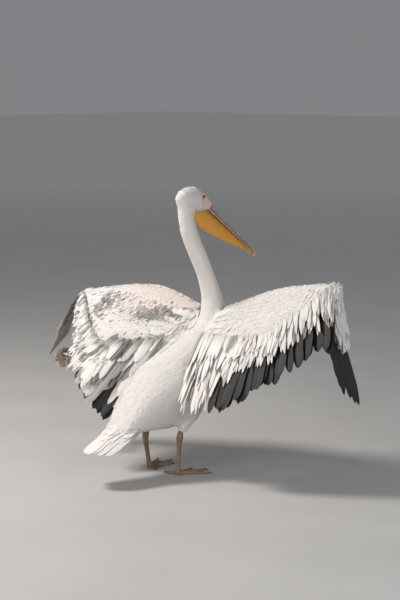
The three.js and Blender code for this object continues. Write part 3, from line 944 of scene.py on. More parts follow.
flesh = welded(SHANKS + FEET, 0.0003)
legs = with_modifier(flesh, "REMESH", mode="VOXEL", voxel_size=LEG_VOXEL, use_smooth_shade=True)
with_scales(legs)
print("legs:", len(legs.vertices), "points")

# %% Join the legs to the body and paint the regions
DOWN_PART, FACE_PART, LEG_PART = 0, 1, 2
LEG_TOP = 0.172
LEG_SPREAD = 0.16


def joined(first, second):
    """One closed surface round two meshes."""
    tool = bpy.data.objects.new("tool", second)
    bpy.context.scene.collection.objects.link(tool)
    made = with_modifier(first, "BOOLEAN", operation="UNION", object=tool, solver="MANIFOLD")
    bpy.data.objects.remove(tool)
    return made


def region_of(places):
    """Which finish a face of the skin takes, from where it lies."""
    face = (bareness(places) > 0) & (np.abs(places[:, 0] - HOME[0]) < FACE_SPREAD)
    leg = places[:, 2] < LEG_TOP
    centre = np.abs(places[:, 1] - HOME[1]) < LEG_SPREAD
    return np.where(face, FACE_PART, np.where(leg & centre, LEG_PART, DOWN_PART))


skin_mesh = joined(body, legs)
print("whole skin:", len(skin_mesh.polygons), "faces")
middles = np.zeros(len(skin_mesh.polygons) * 3, np.float32)
skin_mesh.polygons.foreach_get("center", middles)
skin_mesh.materials.clear()
skin = link("skin", skin_mesh, down, face_skin, leg_skin)
parts = region_of(middles.reshape(-1, 3).astype(float)).astype(np.int32)
skin_mesh.polygons.foreach_set("material_index", parts)
skin_mesh.polygons.foreach_set("use_smooth", np.ones(len(parts), bool))
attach(skin, "root")
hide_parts(*BODY_NODES, *FEET)

# %% [markdown]
# ## Lofted pieces
# Bill, pouch, eyes and claws are all rings of points joined in order, so one loft serves
# them. A subdivided box would also do, but rings keep the edge loops where we want them.
# The bill and pouch lofts paint a small attribute that tells the material how near its edge and tip it is,
# and the eyes paint how far a point lies from the pupil.

# %% Lofts and painted attributes
ACROSS = np.array([1.0, 0.0, 0.0])


def loft(name, rings):
    """A closed mesh through rings of points, given as an array of ring, point and place."""
    count, sides, _ = rings.shape
    points = np.concatenate([rings.reshape(-1, 3), rings[:1].mean(1), rings[-1:].mean(1)])
    ring, side = np.meshgrid(np.arange(count - 1), np.arange(sides), indexing="ij")
    here, beside = ring * sides + side, ring * sides + (side + 1) % sides
    quads = np.stack([here, beside, beside + sides, here + sides], -1).reshape(-1, 4)
    first = np.arange(sides)
    second = (first + 1) % sides
    start = np.stack([second, first, np.full(sides, count * sides)], 1)
    last = (count - 1) * sides
    end = np.stack([last + first, last + second, np.full(sides, count * sides + 1)], 1)
    return mesh_from(name, points, quads, np.concatenate([start, end]))


def facing_out(mesh):
    """Turns the faces so that they all point outwards."""
    made = bmesh.new()
    made.from_mesh(mesh)
    bmesh.ops.recalc_face_normals(made, faces=made.faces)
    made.to_mesh(mesh)
    made.free()
    return mesh


def paint(mesh, name, values, kind="FLOAT_VECTOR"):
    """Stores one value for each point of the mesh."""
    field = {"FLOAT": "value", "FLOAT_VECTOR": "vector", "FLOAT_COLOR": "color"}[kind]
    layer = mesh.attributes.new(name, kind, "POINT")
    layer.data.foreach_set(field, np.asarray(values, np.float32).ravel())


def keep(name, mesh, slot, material, *replaced):
    """Links a finished piece, lets it ride on the body and hides the solid parts it stands for."""
    piece = link(name, mesh, material)
    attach(piece, "root")
    if replaced:
        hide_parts(*replaced)
    return piece


# %% Eyes
EYE_SIDES = 32
EYE_RINGS = 20
CORNEA = 0.0007


def eye_mesh(sign):
    """A ball seen along its own axis, with a clear bulge in front of the iris."""
    centre = spot(-sign * EYE_RIGHT[0], EYE_RIGHT[1], EYE_RIGHT[2])
    off = np.linspace(0.02, math.pi - 0.02, EYE_RINGS)
    turn = np.linspace(0, 2 * math.pi, EYE_SIDES, endpoint=False)
    radius = (EYE_RADIUS - CORNEA + CORNEA * np.exp(-(off / 0.55) ** 2))[:, None]
    x = sign * radius * np.cos(off)[:, None] + np.zeros(EYE_SIDES)
    y = radius * np.sin(off)[:, None] * np.cos(turn)
    z = radius * np.sin(off)[:, None] * np.sin(turn)
    mesh = loft("eye", centre + np.stack([x, y, z], -1))
    rings = np.concatenate([np.repeat(off, EYE_SIDES), [0, math.pi]])
    paint(mesh, "ring", np.minimum(rings / 0.9, 1), "FLOAT")
    return facing_out(mesh)


for side, sign in (("right", -1), ("left", 1)):
    keep(f"eye_ball_{side}", eye_mesh(sign), "eye", eye_wet, f"eye_{side}")
print("eye diameter:", 2 * EYE_RADIUS)

# %% [markdown]
# ## The bill
# The upper half is a long flat blade with a raised ridge, a groove on each side of the ridge,
# and a hooked nail at its tip. The lower half is two thin bony rods that meet at the tip, and
# the pouch hangs between them. Each is lofted along the bill's own axis from a short table of
# sizes, so the curves stay smooth.

# %% The bill's own axis and its upper half
BILL_LENGTH = 0.344
BILL_DROP = math.radians(36.5)
BILL_ROOT = spot(0, -0.229, 0.994)
BILL_AXIS = np.array([0, -math.cos(BILL_DROP), -math.sin(BILL_DROP)])
BILL_RISE = np.array([0, -math.sin(BILL_DROP), math.cos(BILL_DROP)])
BILL_SIDES = 40
UPPER_SHARES = (-0.07, 0.0, 0.15, 0.4, 0.7, 0.88, 0.95, 0.975)
UPPER_WIDTH = (0.020, 0.0215, 0.017, 0.0135, 0.015, 0.0148, 0.0098, 0.0070)
UPPER_MIDDLE = (0.001, 0.0, -0.0015, -0.003, -0.0035, -0.004, -0.0045, -0.0050)
UPPER_DEPTH = (0.0105, 0.0105, 0.0083, 0.0064, 0.0049, 0.0044, 0.0040, 0.0030)


def on_bill(share, sideways, up):
    """Places in the bill's own axes, in metres."""
    share, sideways, up = (np.asarray(v, float)[..., None] for v in (share, sideways, up))
    return BILL_ROOT + BILL_AXIS * share * BILL_LENGTH + ACROSS * sideways + BILL_RISE * up


def sized(shares, sizes, at):
    """Sizes read smoothly from a short table."""
    return curve(np.stack([shares, sizes], 1), table_place(shares, at))[:, 1]


def table_place(shares, at):
    return np.interp(at, shares, np.linspace(0, 1, len(shares)))


def upper_bill_mesh():
    """A flat blade with a ridge between two grooves, and a lip along each edge."""
    share = np.linspace(UPPER_SHARES[0], UPPER_SHARES[-1], 70)
    turn = np.linspace(0, 2 * math.pi, BILL_SIDES, endpoint=False)
    sizes = (UPPER_WIDTH, UPPER_MIDDLE, UPPER_DEPTH)
    wide, middle, deep = (sized(UPPER_SHARES, size, share)[:, None] for size in sizes)
    x = np.sign(np.cos(turn)) * np.abs(np.cos(turn)) ** 0.8
    top = np.sin(turn) > 0
    ridge = 0.32 * np.exp(-((x / 0.24) ** 2)) - 0.26 * np.exp(-(((np.abs(x) - 0.42) / 0.16) ** 2))
    lip = -0.55 * np.exp(-(((np.abs(x) - 0.97) / 0.07) ** 2))
    z = np.where(top, 0.72 * np.sin(turn) + ridge, 0.55 * np.sin(turn)) + lip * ~top
    mesh = loft("upper_bill", on_bill(share[:, None] + 0 * x, wide * x, middle + deep * z))
    edge = np.tile(np.abs(x) * (np.sin(turn) < -0.1), len(share))
    along = np.repeat(np.clip(share, 0, 1), BILL_SIDES)
    values = np.stack([np.append(edge, [0, 0]), np.append(along, [0, 1]), np.zeros(len(edge) + 2)], 1)
    paint(mesh, "bill", values)
    return facing_out(mesh)


keep("upper_mandible", upper_bill_mesh(), "bill_horn", bill_horn, "upper_bill")

# %% The two rods of the lower half
LOWER_SHARES = (-0.10, 0.02, 0.3, 0.6, 0.85, 0.93, 0.955)
LOWER_SPREAD = (0.0165, 0.0175, 0.0135, 0.0115, 0.0100, 0.0055, 0.0012)
LOWER_HEIGHT = (-0.0172, -0.0165, -0.0138, -0.0120, -0.0114, -0.0112, -0.0110)
ROD_HALF = (0.0024, 0.0042)


def rod_rings(sign):
    """The rings of one rod, which bends in to meet the other at the tip."""
    share = np.linspace(LOWER_SHARES[0], LOWER_SHARES[-1], 60)
    turn = np.linspace(0, 2 * math.pi, 14, endpoint=False)
    spread, height = (sized(LOWER_SHARES, s, share)[:, None] for s in (LOWER_SPREAD, LOWER_HEIGHT))
    slim = mix(1.0, 0.55, smooth(share))[:, None]
    x = sign * (spread + ROD_HALF[0] * slim * np.cos(turn))
    return on_bill(share[:, None] + 0 * turn, x, height + ROD_HALF[1] * slim * np.sin(turn)), share


def rods_mesh():
    """Both rods in one mesh, so that they meet at the tip."""
    whole = bmesh.new()
    for sign in (-1, 1):
        rings, share = rod_rings(sign)
        mesh = loft("rod", rings)
        along = np.append(np.repeat(np.clip(share, 0, 1), rings.shape[1]), [0, 1])
        paint(mesh, "bill", np.stack([np.full(len(along), 0.92), along, 0 * along], 1))
        whole.from_mesh(mesh)
    made = bpy.data.meshes.new("lower_mandible")
    whole.to_mesh(made)
    whole.free()
    return facing_out(made)


keep("lower_mandible", rods_mesh(), "bill_horn", bill_horn, "lower_bill")

# %% [markdown]
# ### The pouch
# The pouch is a thin elastic bag between the two rods. Here it hangs slack and nearly empty,
# so it reads as a deep blade: broad at the throat and running out at the tip. Its wall has
# long soft folds and finer creases that fan out from the throat. A cloth simulation would
# find such folds too, but sine folds in the loft are steady and take no time.

# %% The pouch
POUCH_SHARES = (-0.16, -0.09, 0.02, 0.18, 0.42, 0.66, 0.85, 0.93)
POUCH_WIDTH = (0.008, 0.0125, 0.0172, 0.0172, 0.0140, 0.0112, 0.0078, 0.0040)
POUCH_MIDDLE = (-0.060, -0.0580, -0.0560, -0.0500, -0.0392, -0.0280, -0.0190, -0.0148)
POUCH_DEPTH = (0.020, 0.0265, 0.0360, 0.0340, 0.0245, 0.0142, 0.0064, 0.0030)
POUCH_SIDES = 72
FOLD_DEPTH = 0.0010


def pouch_mesh():
    """A deep slack blade of skin, folded along its length and creased across it."""
    share = np.linspace(POUCH_SHARES[0], POUCH_SHARES[-1], 110)[:, None]
    turn = np.linspace(0, 2 * math.pi, POUCH_SIDES, endpoint=False)
    sizes = (POUCH_WIDTH, POUCH_MIDDLE, POUCH_DEPTH)
    wide, middle, deep = (sized(POUCH_SHARES, size, share[:, 0])[:, None] for size in sizes)
    low = (1 - np.sin(turn)) / 2
    squeeze = mix(1.0, 0.62, smooth(low, 0.25, 0.9))
    fold = np.sin(low * 34 + 5 * np.sin(share * 4) + 2.0 * np.sign(np.cos(turn)))
    crease = np.sin(low * 90 - share * 38)
    slack = smooth(low, 0.12, 0.4) * smooth(share, 1.0, 0.55)
    push = slack * (FOLD_DEPTH * fold + 0.0003 * crease)
    x = np.cos(turn) * (wide * squeeze + push)
    up = middle + np.sin(turn) * (deep + 0.4 * push)
    mesh = loft("pouch", on_bill(share + 0 * turn, x, up))
    values = np.zeros((len(mesh.vertices), 3))
    values[:-2, 0] = np.tile(low, len(share))
    values[:-2, 1] = np.repeat(np.clip(share[:, 0], 0, 1), POUCH_SIDES)
    paint(mesh, "bill", values)
    return facing_out(mesh)


keep("throat_pouch", pouch_mesh(), "pouch_skin", pouch_skin, "pouch")

# %% Nail and claws
NAIL_SHARES = (0.935, 0.953, 0.975, 0.990, 0.992, 0.985)
NAIL_DROPS = (-0.0035, -0.0040, -0.0052, -0.0090, -0.0135, -0.0185)
NAIL_HALVES = ((0.0085, 0.0034), (0.0092, 0.0042), (0.0080, 0.0050), (0.0056, 0.0050),
               (0.0036, 0.0040), (0.0012, 0.0014))


def horn_mesh(name, path, halves, across, sides=16, rings=14):
    """A tapering horn along a path, with its half width and half depth at each station."""
    t = np.linspace(0, 1, rings)
    centre = curve(path, t)
    along = unit(np.gradient(centre, axis=0))
    rise = unit(np.cross(np.tile(across, (rings, 1)), along))
    half = curve(halves, t)
    turn = np.linspace(0, 2 * math.pi, sides, endpoint=False)
    spread = (half[:, :1] * np.cos(turn))[..., None] * across
    lift = (half[:, 1:] * np.sin(turn))[..., None] * rise[:, None]
    return facing_out(loft(name, centre[:, None] + spread + lift))


nail_path = on_bill(np.array(NAIL_SHARES), np.zeros(len(NAIL_SHARES)), np.array(NAIL_DROPS))
nail = horn_mesh("nail", nail_path, np.array(NAIL_HALVES), ACROSS, sides=24, rings=24)
keep("nail_hook", nail, "nail_horn", nail_horn, "bill_nail")


def claw_mesh(node, heel):
    """A small curved claw in the place of the solid one."""
    at = points_of(nodes[node].data)
    reach = np.linalg.norm((at - heel)[:, :2], axis=1)
    base = at[reach < reach.min() + 0.001].mean(0)
    tip = at[reach > reach.max() - 0.001].mean(0)
    way = unit(tip - base)
    across = unit(np.cross(way, [0, 0, 1.0]))
    arch = np.array([0, 0, 0.0011])
    path = [base - way * 0.003, base + arch, mix(base, tip, 0.55) + arch, tip]
    halves = np.array([(0.0034, 0.0034), (0.0031, 0.0031), (0.0021, 0.0022), (0.0006, 0.0006)])
    return horn_mesh("claw", np.array(path), halves, across)


for side in SIDES:
    for toe in ("hind", "inner", "middle", "outer"):
        node = f"claw_{side}_{toe}"
        keep(f"horn_{side}_{toe}", claw_mesh(node, HEELS[side]), "claw_horn", claw_horn, node)
print("bill, pouch, eyes and claws made")

# %% [markdown]
# ## Feathers
# A feather is a flat vane on a shaft: narrow at its root, broad in the middle, and rounded or
# pointed at its tip. Hair particles would fill the body fast, but they don't leave Blender as
# mesh. So we write the vanes as arrays: every feather of a tract is one copy of the same small
# closed mesh, and numpy bends, widens and turns all copies at once. Small feathers have three
# points round each ring, and large ones have eight, with an uneven edge.

# %% The shape of one vane
SMALL_SECTION = np.array([(-1, 0), (0, 1), (1, 0)], float)
LARGE_SECTION = np.array([(-1, 0), (-0.5, 0.8), (0, 1.5), (0.5, 0.8),
                          (1, 0), (0.5, -0.8), (0, -1.2), (-0.5, -0.8)])


def tract(root, way, out, length, half, rise=0.12, curl=0.08, twist=0.0, sweep=0.0,
          tone=(0.84, 0.81, 0.78), base=0.80):
    """One entry for each feather of a tract, with single values spread over all of them.

    `tone` is a feather's colour, and `base` is how much of it is left at the root, which is darker partly as
    its own base and partly as painted shade where feathers overlap.
    """
    n = len(root)
    way = unit(way - out * dot(way, out))
    sizes = {"length": length, "half": half, "rise": rise, "curl": curl, "twist": twist,
             "sweep": sweep, "base": base}
    made = {key: np.broadcast_to(np.asarray(value, float), n).copy() for key, value in sizes.items()}
    made.update(root=root, way=way, out=out, tone=np.broadcast_to(np.asarray(tone, float), (n, 3)).copy())
    return made


def together(*tracts):
    """Several tracts as one."""
    return {key: np.concatenate([t[key] for t in tracts]) for key in tracts[0]}


def outline(v, tip):
    """Half width along a vane, from its root to its tip. It tapers from `tip` onwards."""
    swell = np.minimum(v / 0.30, 1) ** 0.55
    taper = 1 - np.clip((v - tip) / (1 - tip), 0, 1) ** 1.8
    return swell * np.maximum(taper, 0) ** 0.62


def clear_of_trunk(centre, margin):
    """Swings whole shafts outwards about their roots until none sinks into the trunk."""
    reach = np.linspace(0, 1, centre.shape[1])[None, :, None]
    for _ in range(3):
        places, out, _ = nearest(trunk_tree, centre.reshape(-1, 3))
        places, out = places.reshape(centre.shape), out.reshape(centre.shape)
        short = np.maximum(margin - dot(centre - places, out), 0) * (reach > 0.2)
        swing = (short / np.maximum(reach, 0.2)).max(1, keepdims=True)
        centre = centre + unit((out * short).sum(1, keepdims=True)) * np.minimum(swing, 0.08) * reach
    return centre


def vane_points(t, rings, section, tip, arch, thick, jag, clear):
    """Every point of every vane of a tract, as an array of vane, point and place."""
    n, sides = len(t["root"]), len(section)
    v = np.linspace(0, 1, rings + 2)
    v = mix(v, v ** 0.8, 0.5)
    col = {key: t[key][:, None, None] for key in ("length", "half", "rise", "curl", "twist", "sweep")}
    way, out = t["way"][:, None], t["out"][:, None]
    side = np.cross(way, out)
    vv = v[None, :, None]
    centre = t["root"][:, None] + col["length"] * (
        way * vv + out * (col["rise"] * vv - col["curl"] * vv ** 2) + side * col["sweep"] * vv ** 2)
    if clear:
        centre = clear_of_trunk(centre, clear)
    along = unit(way + out * (col["rise"] - 2 * col["curl"] * vv))
    up = unit(out - along * dot(out, along))
    turned = side * np.cos(col["twist"]) + up * np.sin(col["twist"])
    upward = up * np.cos(col["twist"]) - side * np.sin(col["twist"])
    inner = slice(1, -1)
    ragged = 1 - jag * chance.random((n, rings, 2)) ** 2
    u, h = section[:, 0], section[:, 1]
    edge = np.where(u < 0, ragged[..., :1], ragged[..., 1:])
    width = (t["half"][:, None] * outline(v[inner], tip))[..., None] * np.where(np.abs(u) > 0.9, edge, 1)
    height = h * thick * mix(1.0, 0.4, v[inner])[None, :, None] - arch * width * u ** 2
    ring = (centre[:, inner, None] + turned[:, inner, None] * (width * u)[..., None]
            + upward[:, inner, None] * height[..., None])
    ends = centre[:, [0, -1]]
    return np.concatenate([ring.reshape(n, rings * sides, 3), ends], 1)


def vane_faces(rings, sides):
    """The faces of one vane, as quads between rings and triangles at both ends."""
    ring, side = np.meshgrid(np.arange(rings - 1), np.arange(sides), indexing="ij")
    here, beside = ring * sides + side, ring * sides + (side + 1) % sides
    quads = np.stack([here, here + sides, beside + sides, beside], -1).reshape(-1, 4)
    first = np.arange(sides)
    second = (first + 1) % sides
    start = np.stack([first, second, np.full(sides, rings * sides)], 1)
    last = (rings - 1) * sides
    end = np.stack([last + second, last + first, np.full(sides, rings * sides + 1)], 1)
    return quads, np.concatenate([start, end])


# %% [markdown]
# ### A map for every feather
# The finished part's colours may be baked into a picture. Each small feather then needs a spot of its own on
# a map of the skin. So we unwrap a coarse copy of the skin once, and each feather looks up where its root
# lies on that map. Flight feathers are few and large, so each of them gets a whole strip of its piece's map
# instead.

# %% Unwrap a coarse skin
PATCH = 0.003


def coarse_map():
    """A coarse skin with its own unwrap: a search tree, its corners and their map places."""
    mesh = with_modifier(welded(BODY_NODES + FEET, 0.001), "REMESH", mode="VOXEL", voxel_size=MAP_VOXEL)
    guide = link("map_guide", mesh)
    bpy.context.view_layer.objects.active = guide
    guide.select_set(True)
    bpy.ops.object.mode_set(mode="EDIT")
    bpy.ops.mesh.select_all(action="SELECT")
    bpy.ops.mesh.quads_convert_to_tris()
    bpy.ops.uv.smart_project(angle_limit=math.radians(66), island_margin=0.002)
    bpy.ops.object.mode_set(mode="OBJECT")
    corners = np.zeros(len(mesh.loops), np.int32)
    mesh.loops.foreach_get("vertex_index", corners)
    flat = np.zeros(len(mesh.loops) * 2, np.float32)
    mesh.uv_layers.active.data.foreach_get("uv", flat)
    points = points_of(mesh)
    tree = BVHTree.FromPolygons(points.tolist(), corners.reshape(-1, 3).tolist())
    bpy.data.objects.remove(guide)
    return tree, points[corners].reshape(-1, 3, 3), flat.reshape(-1, 3, 2).astype(float)


map_tree, map_corners, map_places = coarse_map()
print("coarse map:", len(map_corners), "triangles")


def on_map(points):
    """Where points of the skin lie on its unwrap."""
    places, _, face = nearest(map_tree, points)
    a, b, c = (map_corners[face, k] for k in range(3))
    full = np.linalg.norm(np.cross(b - a, c - a), axis=1)
    sides = ((b, c), (c, a), (a, b))
    shares = [np.linalg.norm(np.cross(q - places, r - places), axis=1) / full for q, r in sides]
    return sum(share[:, None] * map_places[face, k] for k, share in enumerate(shares))


# %% Build a tract of feathers
VANE_HALF = 0.00035
SMALL_VANE_HALF = 0.0003
MOST_TRIANGLES = 190000
LANE_MARGIN = 0.08
coat_triangles = {}


def add_map(mesh, name, corners, values):
    layer = mesh.uv_layers.new(name=name)
    layer.data.foreach_set("uv", values[corners].astype(np.float32).ravel())


def feather_piece(name, t, rings, section, shape, material, strips, edge_tone):
    """One mesh of vanes with its two maps and its painted tones."""
    n, sides = len(t["root"]), len(section)
    points = vane_points(t, rings, section, *shape)
    per_vane = points.shape[1]
    quads, tris = vane_faces(rings, sides)
    steps = (np.arange(n) * per_vane)[:, None, None]
    all_quads, all_tris = (quads + steps).reshape(-1, 4), (tris + steps).reshape(-1, 3)
    mesh = mesh_from(name, points.reshape(-1, 3), all_quads, all_tris)
    mesh.polygons.foreach_set("use_smooth", np.zeros(len(mesh.polygons), bool))
    corners = np.zeros(len(mesh.loops), np.int32)
    mesh.loops.foreach_get("vertex_index", corners)
    v = np.linspace(0, 1, rings + 2)[1:-1]
    u01 = np.append(np.tile((section[:, 0] + 1) / 2, rings), [0.5, 0.5])
    v01 = np.append(np.repeat(v, sides), [0.0, 1.0])
    vane = np.stack([u01, v01], 1)
    add_map(mesh, "vane", corners, np.tile(vane, (n, 1)))
    if strips:
        across = (np.arange(n)[:, None] + LANE_MARGIN + (1 - 2 * LANE_MARGIN) * u01) / n
        lane = np.stack([across, np.tile(0.02 + 0.96 * v01, (n, 1))], -1)
    else:
        lane = on_map(t["root"])[:, None] + (vane - 0.5) * PATCH
    add_map(mesh, "OFBake", corners, lane.reshape(-1, 2))
    tone = t["tone"][:, None]
    if edge_tone:
        rim = (np.abs(2 * u01 - 1) ** 3 * 0.8)[None, :, None]
        tone = mix(tone, np.asarray(edge_tone)[None, None], rim)
    # Each vane darkens towards its root: partly its own darker base, partly painted shade under the feathers
    # that cover it.
    tone = tone * mix(t["base"][:, None, None], 1.0, smooth(v01, 0.05, 0.50)[None, :, None])
    opaque = np.ones((*tone.shape[:2], 1))
    paint(mesh, "tone", np.concatenate([tone, opaque], -1).reshape(-1, 4), "FLOAT_COLOR")
    coat_triangles[name] = n * (2 * len(quads) + len(tris))
    piece = link(name, mesh, material)
    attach(piece, "root")
    return piece


def small_feathers(name, t, rings=2, tip=0.35, arch=0.06):
    """Small contour feathers, in as many pieces as the limit on triangles asks for."""
    sides = len(SMALL_SECTION)
    per_vane = 2 * sides * (rings - 1) + 2 * sides
    parts = math.ceil(len(t["root"]) * per_vane / MOST_TRIANGLES)
    order = chance.permutation(len(t["root"]))
    for part in range(parts):
        some = {key: value[order[part::parts]] for key, value in t.items()}
        label = name if parts == 1 else f"{name}_{part + 1}"
        shape = (tip, arch, SMALL_VANE_HALF, 0.0, 0.0)
        feather_piece(label, some, rings, SMALL_SECTION, shape, plumage, False, None)


def large_feathers(name, t, rings=14, tip=0.6, arch=0.08, jag=0.12, dark=False, strips=False,
                   edge=None, clear=0.0):
    """Long feathers, with eight points round each ring and an uneven edge."""
    slot, material = ("flight_feathers", flight) if dark else ("plumage", plumage)
    shape = (tip, arch, VANE_HALF, jag, clear)
    return feather_piece(name, t, rings, LARGE_SECTION, shape, material, strips, edge)


# %% [markdown]
# ### Contour feathers on the body
# Feathers lie along the body from head to tail, like tiles on a roof. We sow roots evenly on
# the skin: many random places are tried, and one is dropped where another is too near. The
# way a feather points comes from the body's centre line, pressed flat on the skin. Normals are
# averaged over a wide patch, and every feather is bent so that its tip rests just over the skin.

# %% Sow roots on the skin
skin_tree = BVHTree.FromObject(skin, bpy.context.evaluated_depsgraph_get())
SPARE = 5.0
SNAP = 0.02


def calm_normals(mesh, rounds):
    """Normals averaged over a wide patch of skin, so that feathers roll evenly round a bend."""
    normals, pairs = normals_of(mesh), edges_of(mesh)
    for _ in range(rounds):
        normals = averaged(normals, pairs)
    return unit(normals)


skin_points = kdtree.KDTree(len(skin.data.vertices))
for index, point in enumerate(points_of(skin.data).tolist()):
    skin_points.insert(point, index)
skin_points.balance()
calm = calm_normals(skin.data, 16)


def sown(names, spacing):
    """Roots spread evenly over the skin that lies under these solids, with its normals."""
    points, tris, _ = solid_faces(names)
    a, b, c = (points[tris[:, k]] for k in range(3))
    area = np.linalg.norm(np.cross(b - a, c - a), axis=1)
    count = int(SPARE * area.sum() / 2 / spacing ** 2)
    face = chance.choice(len(tris), count, p=area / area.sum())
    r = np.sqrt(chance.random(count))[:, None]
    s = chance.random(count)[:, None]
    at = a[face] * (1 - r) + b[face] * r * (1 - s) + c[face] * r * s
    places, out, _ = nearest(skin_tree, at)
    near = np.linalg.norm(places - at, axis=1) < SNAP
    kept = thinned(places[near], spacing)
    return places[near][kept], out[near][kept]


# The centre line of the body from the tail to the top of the neck, as [y, z].
BODY_LINE = (
    (0.272, 0.184), (0.160, 0.251), (0.062, 0.301), (-0.060, 0.347), (-0.166, 0.402), (-0.236, 0.468),
    (-0.262, 0.592), (-0.249, 0.650), (-0.208, 0.747), (-0.143, 0.867), (-0.111, 0.950), (-0.114, 1.005),
)
HEAD_LINE = ((-0.070, 1.006), (-0.104, 1.020), (-0.146, 1.023), (-0.182, 1.015), (-0.229, 0.995))
LINE_BLUR = 0.08


def lie(points, line, sag=0.0):
    """The way towards the tail end of a centre line, with some fall under gravity."""
    line = np.array([(0, y, z) for y, z in line]) + HOME
    samples = curve(line, np.linspace(0, 1, 160))
    way = -unit(np.gradient(samples, axis=0))
    gap = ((points[:, None] - samples[None]) ** 2).sum(-1)
    weight = np.exp(-(gap - gap.min(1, keepdims=True)) / LINE_BLUR ** 2)
    return unit(unit(weight @ way) + np.array([0, 0, -sag]))


def varied(n, spread):
    """Factors that lie evenly within a spread round 1."""
    return 1 + spread * (2 * chance.random(n) - 1)


WHITE = np.array([0.82, 0.80, 0.775])
WARM = np.array([0.85, 0.74, 0.68])
PINK = np.array([0.80, 0.62, 0.56])
GREY = np.array([0.36, 0.335, 0.33])
# Feathers mixed towards this near-black carry painted shade: in the hollow under the left arm, in the gaps
# between locks, and among the long feathers, most on the left wing.
PAINTED_SHADE = np.array([0.085, 0.073, 0.070])


def whites(n, warmth=0.15, spread=0.06):
    """A tone for each feather: white, a little warm, and never quite the same."""
    warm = np.clip(warmth * (1 + chance.normal(0, 0.8, n)), 0, 1)[:, None]
    return mix(WHITE, WARM, warm) * varied(n, spread)[:, None]


def wander(way, out, spread):
    """Turns each way a little to one side, in the plane of the skin."""
    turn = chance.normal(0, spread, (len(way), 1))
    return unit(way + np.cross(way, out) * turn)


def laid(t, clearance, reach=0.02):
    """Bends feathers so that their tips rest just over the skin, wherever it is near."""
    length = t["length"][:, None]
    tip = t["root"] + t["way"] * length
    places, out, _ = nearest(skin_tree, tip)
    near = smooth(np.linalg.norm(places - tip, axis=1), reach, reach * 0.6)
    rest = clearance * varied(len(tip), 0.25)[:, None]
    drop = (dot(places + out * rest - t["root"], t["out"]) / length)[:, 0]
    rise = (rest / length)[:, 0] * 1.2
    t["rise"], t["curl"] = mix(t["rise"], rise, near), mix(t["curl"], rise - drop, near)
    return t


def contour(names, spacing, line, length, half, clearance, sag=0.0, spread=0.10, warmth=0.2):
    """Feathers of one region, laid from head to tail."""
    root, _ = sown(names, spacing)
    out = calm[[skin_points.find(p)[1] for p in root.tolist()]]
    way = wander(lie(root, line, sag), out, spread)
    n = len(root)
    made = tract(root, way, out, length * varied(n, 0.2), half * varied(n, 0.15),
                 twist=chance.normal(0, 0.03, n), tone=whites(n, warmth, 0.035))
    return laid(made, clearance, 0.060)


def where(t, keep_it):
    """The feathers of a tract that pass a test."""
    return {key: value[keep_it] for key, value in t.items()}


EYE_CLEARING = 0.0125
head_coat = contour(["head"], 0.0025, HEAD_LINE, 0.0090, 0.0022, 0.0010)
beside_face = np.abs(head_coat["root"][:, 0] - HOME[0]) > FACE_SPREAD
head_coat = where(head_coat, (bareness(head_coat["root"]) < 0.0) | beside_face)
for sign in (-1, 1):
    eye = spot(sign * EYE_RIGHT[0], *EYE_RIGHT[1:])
    head_coat = where(head_coat, np.linalg.norm(head_coat["root"] - eye, axis=1) > EYE_CLEARING)
neck_coat = contour(["neck_upper", "neck_lower"], 0.0036, BODY_LINE, 0.016, 0.0036, 0.0016)
small_feathers("coat_head", head_coat)
small_feathers("coat_neck", neck_coat)
trunk_coat = contour(["trunk"], 0.0056, BODY_LINE, 0.034, 0.0070, 0.0026, sag=0.30)
flank = smooth(trunk_coat["out"][:, 2], 0.35, -0.1)
flank *= smooth(trunk_coat["root"][:, 1] - HOME[1], -0.20, 0.02)
trunk_coat["rise"] += 0.04 * flank * chance.random(len(flank)) ** 2
small_feathers("coat_trunk", trunk_coat, rings=4, tip=0.55, arch=0.05)
thigh_root, thigh_out = sown(THIGHS, 0.0048)
THIGH_WAY = np.array([0.0, 0.25, -1.0])
thigh_coat = tract(thigh_root, wander(np.tile(THIGH_WAY, (len(thigh_root), 1)), thigh_out, 0.12), thigh_out,
                   0.024 * varied(len(thigh_root), 0.2), 0.0056, tone=whites(len(thigh_root), 0.2))
small_feathers("coat_thighs", laid(thigh_coat, 0.0022), rings=3, tip=0.5)
print("contour feathers:", sum(len(t["root"]) for t in (head_coat, neck_coat, trunk_coat, thigh_coat)))

# %% [markdown]
# ### Rows of coverts
# Coverts roof the arm in rows. In front they are short and flat, and point straight back.
# Further aft they are longer, hang more and more downwards, and part into ragged locks with gaps between
# them, where some feathers carry painted shade. So way, length and looseness are all functions of `aft`. A
# few rows cross the wrist, and small flat feathers under all the rows close what gaps are left.

# %% Rows along the arm
LOCKS = 26
ROWS = 13
ROW_AFT = np.linspace(-0.62, 0.95, ROWS)
ROW_SPAN = (0.01, 0.955)


def into_locks(wing, t, way, outward, pull):
    """Draws feathers together into locks along the wing, with gaps between them."""
    phase = 2 * np.pi * (LOCKS * t + 0.35 * np.sin(9 * t) + 0.2 * np.sin(23 * t))
    return unit(way - np.cross(way, outward) * (wing["sign"] * pull * np.sin(phase))[:, None])


